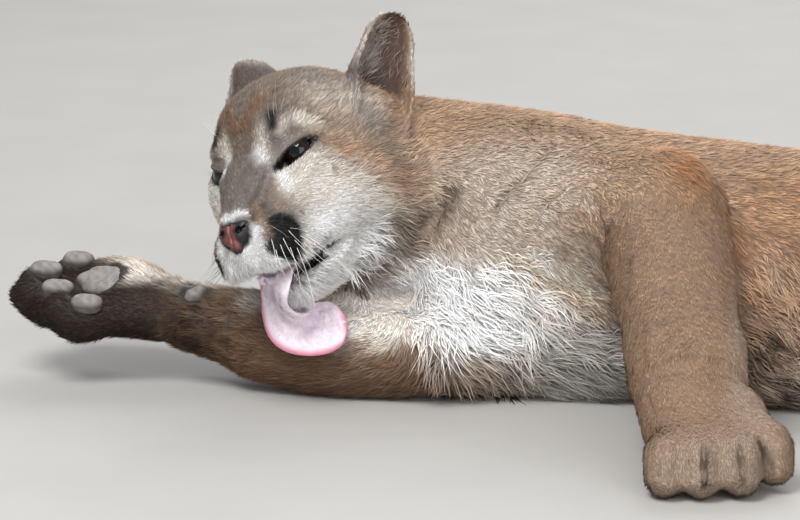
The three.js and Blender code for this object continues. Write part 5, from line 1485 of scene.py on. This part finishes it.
def bristles(name, hairs, colour_of, steps=12):
    # tapering bent hairs: each is a root, a direction, a bend, a length and a width
    lines, widths, sides, ups = [], [], [], []
    for root, way, bend, long, wide in hairs:
        way, bend = unit(way), np.asarray(bend, float)
        t = np.linspace(0, 1, steps + 1)
        line = root + long * (t[:, None] * way + t[:, None] ** 2 * bend)
        lines.append(line - way * (t == 0)[:, None])
        widths.append(wide * (1 - 0.85 * t[:-1]))
        sides.append(unit(np.cross((0.2, 0.3, 1), way)))
        ups.append(unit(np.cross(way, sides[-1])))
    lines, widths, sides, ups = (np.array(rows) for rows in (lines, widths, sides, ups))
    lines[..., 2] = np.maximum(lines[..., 2], WHISKER_FLOOR)
    corners, faces = blades(lines, widths, sides, ups)
    soft = np.tile(np.stack([sides, -sides, ups], axis=1), (1, steps, 1))
    soft = np.concatenate([soft, ups[:, None]], axis=1)
    shades = np.tile(colour_of, (len(hairs), corners.shape[1], 1))
    place = 0.02 + 0.96 * (np.arange(len(hairs)) + 0.5) / len(hairs)
    t = np.concatenate([np.repeat(np.arange(steps) / steps, 3), [1]])
    patch = np.stack([place[:, None] + 0 * t, 0.5 + 0.003 * t + 0 * place[:, None]], axis=2)
    build(name, corners, soft, faces, shades, patch, whisker_paint)


whisker_paint = hair_material("whisker_hair", 0.35, 300.0)
draw = np.random.default_rng(91)
white, dark = [], []
STROKES = [
    ((302, 235), (370, 270)), ((305, 242), (347, 282)), ((303, 253), (313, 267)), ((309, 236), (352, 262)),
    ((290, 230), (303, 246)), ((281, 245), (295, 285)), ((291, 247), (305, 280)), ((296, 240), (330, 278)),
    ((284, 238), (300, 272)), ((276, 250), (284, 278)), ((298, 248), (324, 292)), ((272, 240), (279, 268)),
]
for start, end in STROKES:
    root = seen(start)[0]
    way = (end[0] - start[0]) * picture_right - (end[1] - start[1]) * picture_up
    out = 0.5 + 0.012 * way[0]
    long = np.linalg.norm(way) * CAMERA_DISTANCE / FOCAL * math.hypot(1, out)
    way = unit(unit(way) + out * back_to_camera + 0.04 * draw.normal(size=3))
    bend = 0.12 * unit(np.cross(way, back_to_camera)) * draw.choice((-1, 1))
    for side in (1, -1):
        own = rooted_at(on_side(root, side))
        own_way = on_side(HEAD.origin + way, side) - HEAD.origin - 0.9 * (side < 0) * HEAD.l
        own_bend = on_side(HEAD.origin + bend, side) - HEAD.origin
        # on the far side of the head most whiskers are made dark: painted shade on the side that faces the
        # floor
        to = dark if side < 0 and draw.random() < 0.6 else white
        to.append((own, own_way, own_bend, long * (1.25 if side > 0 else 0.5), 0.7))
for side in (1, -1):
    for step in range(7):
        root = rooted_at(HEAD.at(44 - 6 * step, side * (22 + 3 * step), -56 - 3 * (step % 3)))
        way = -0.2 * HEAD.f + side * 0.9 * HEAD.l - 0.45 * HEAD.u + 0.12 * draw.normal(size=3)
        (dark if step % 2 else white).append((root, way, -0.25 * HEAD.u, draw.uniform(18, 40), 0.5))
    for step in range(4):
        root = rooted_at(HEAD.at(8 - 4 * step, side * (30 + 2.5 * step), 34 + step))
        way = 0.35 * HEAD.f + side * 0.4 * HEAD.l + HEAD.u + 0.15 * draw.normal(size=3)
        white.append((root, way, -0.35 * HEAD.f, draw.uniform(20, 34), 0.45))
    for step in range(4):
        root = rooted_at(HEAD.at(-36 - 8 * step, side * 62, -40 - 6 * step))
        way = -0.7 * HEAD.f + side * 0.7 * HEAD.l - 0.35 * HEAD.u + 0.1 * draw.normal(size=3)
        white.append((root, way, -0.1 * HEAD.u, draw.uniform(26, 38), 0.5))
    for step in range(6):
        root = rooted_at(HEAD.at(10 - 7 * step, side * 12, -112))
        way = 0.2 * HEAD.f + side * 0.5 * HEAD.l - HEAD.u + 0.2 * draw.normal(size=3)
        white.append((root, way, -0.2 * HEAD.f, draw.uniform(9, 16), 0.4))
bristles("whiskers_white", white, linear(238, 236, 232))
bristles("whiskers_dark", dark, linear(30, 26, 24))
lashes = []
for side in (1, -1):
    place = eye_place(side)
    for i in range(6, 32):
        root = RIMS[side][i] + 0.4 * place.f
        way = place.f - 0.15 * place.u + 0.06 * (18 - i) * place.l + 0.12 * draw.normal(size=3)
        lashes.append((root, way, -0.3 * place.u, draw.uniform(4.5, 8), 0.4))
bristles("eyelashes", lashes, linear(16, 14, 14), 5)

# Finish of the skin
# Under the hair the skin carries the same markings, darkened as painted shade, so that the partings look
# deep.
skin_paint, shader = marked_material("skin", 0.7)
roughen(skin_paint.node_tree, shader, noise(skin_paint.node_tree, 700.0, 4.0), 0.5, 0.0006)
covered_share = np.clip(1 - 1.2 * bare, 0, 1)[:, None]
colour_points(mesh, colour * (1 - 0.45 * covered_share))
mesh.materials.clear()
mesh.materials.append(skin_paint)
mesh.polygons.foreach_set("material_index", np.zeros(len(mesh.polygons), np.int32))
soften(mesh)
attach(skin, "root")
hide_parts(*flesh)
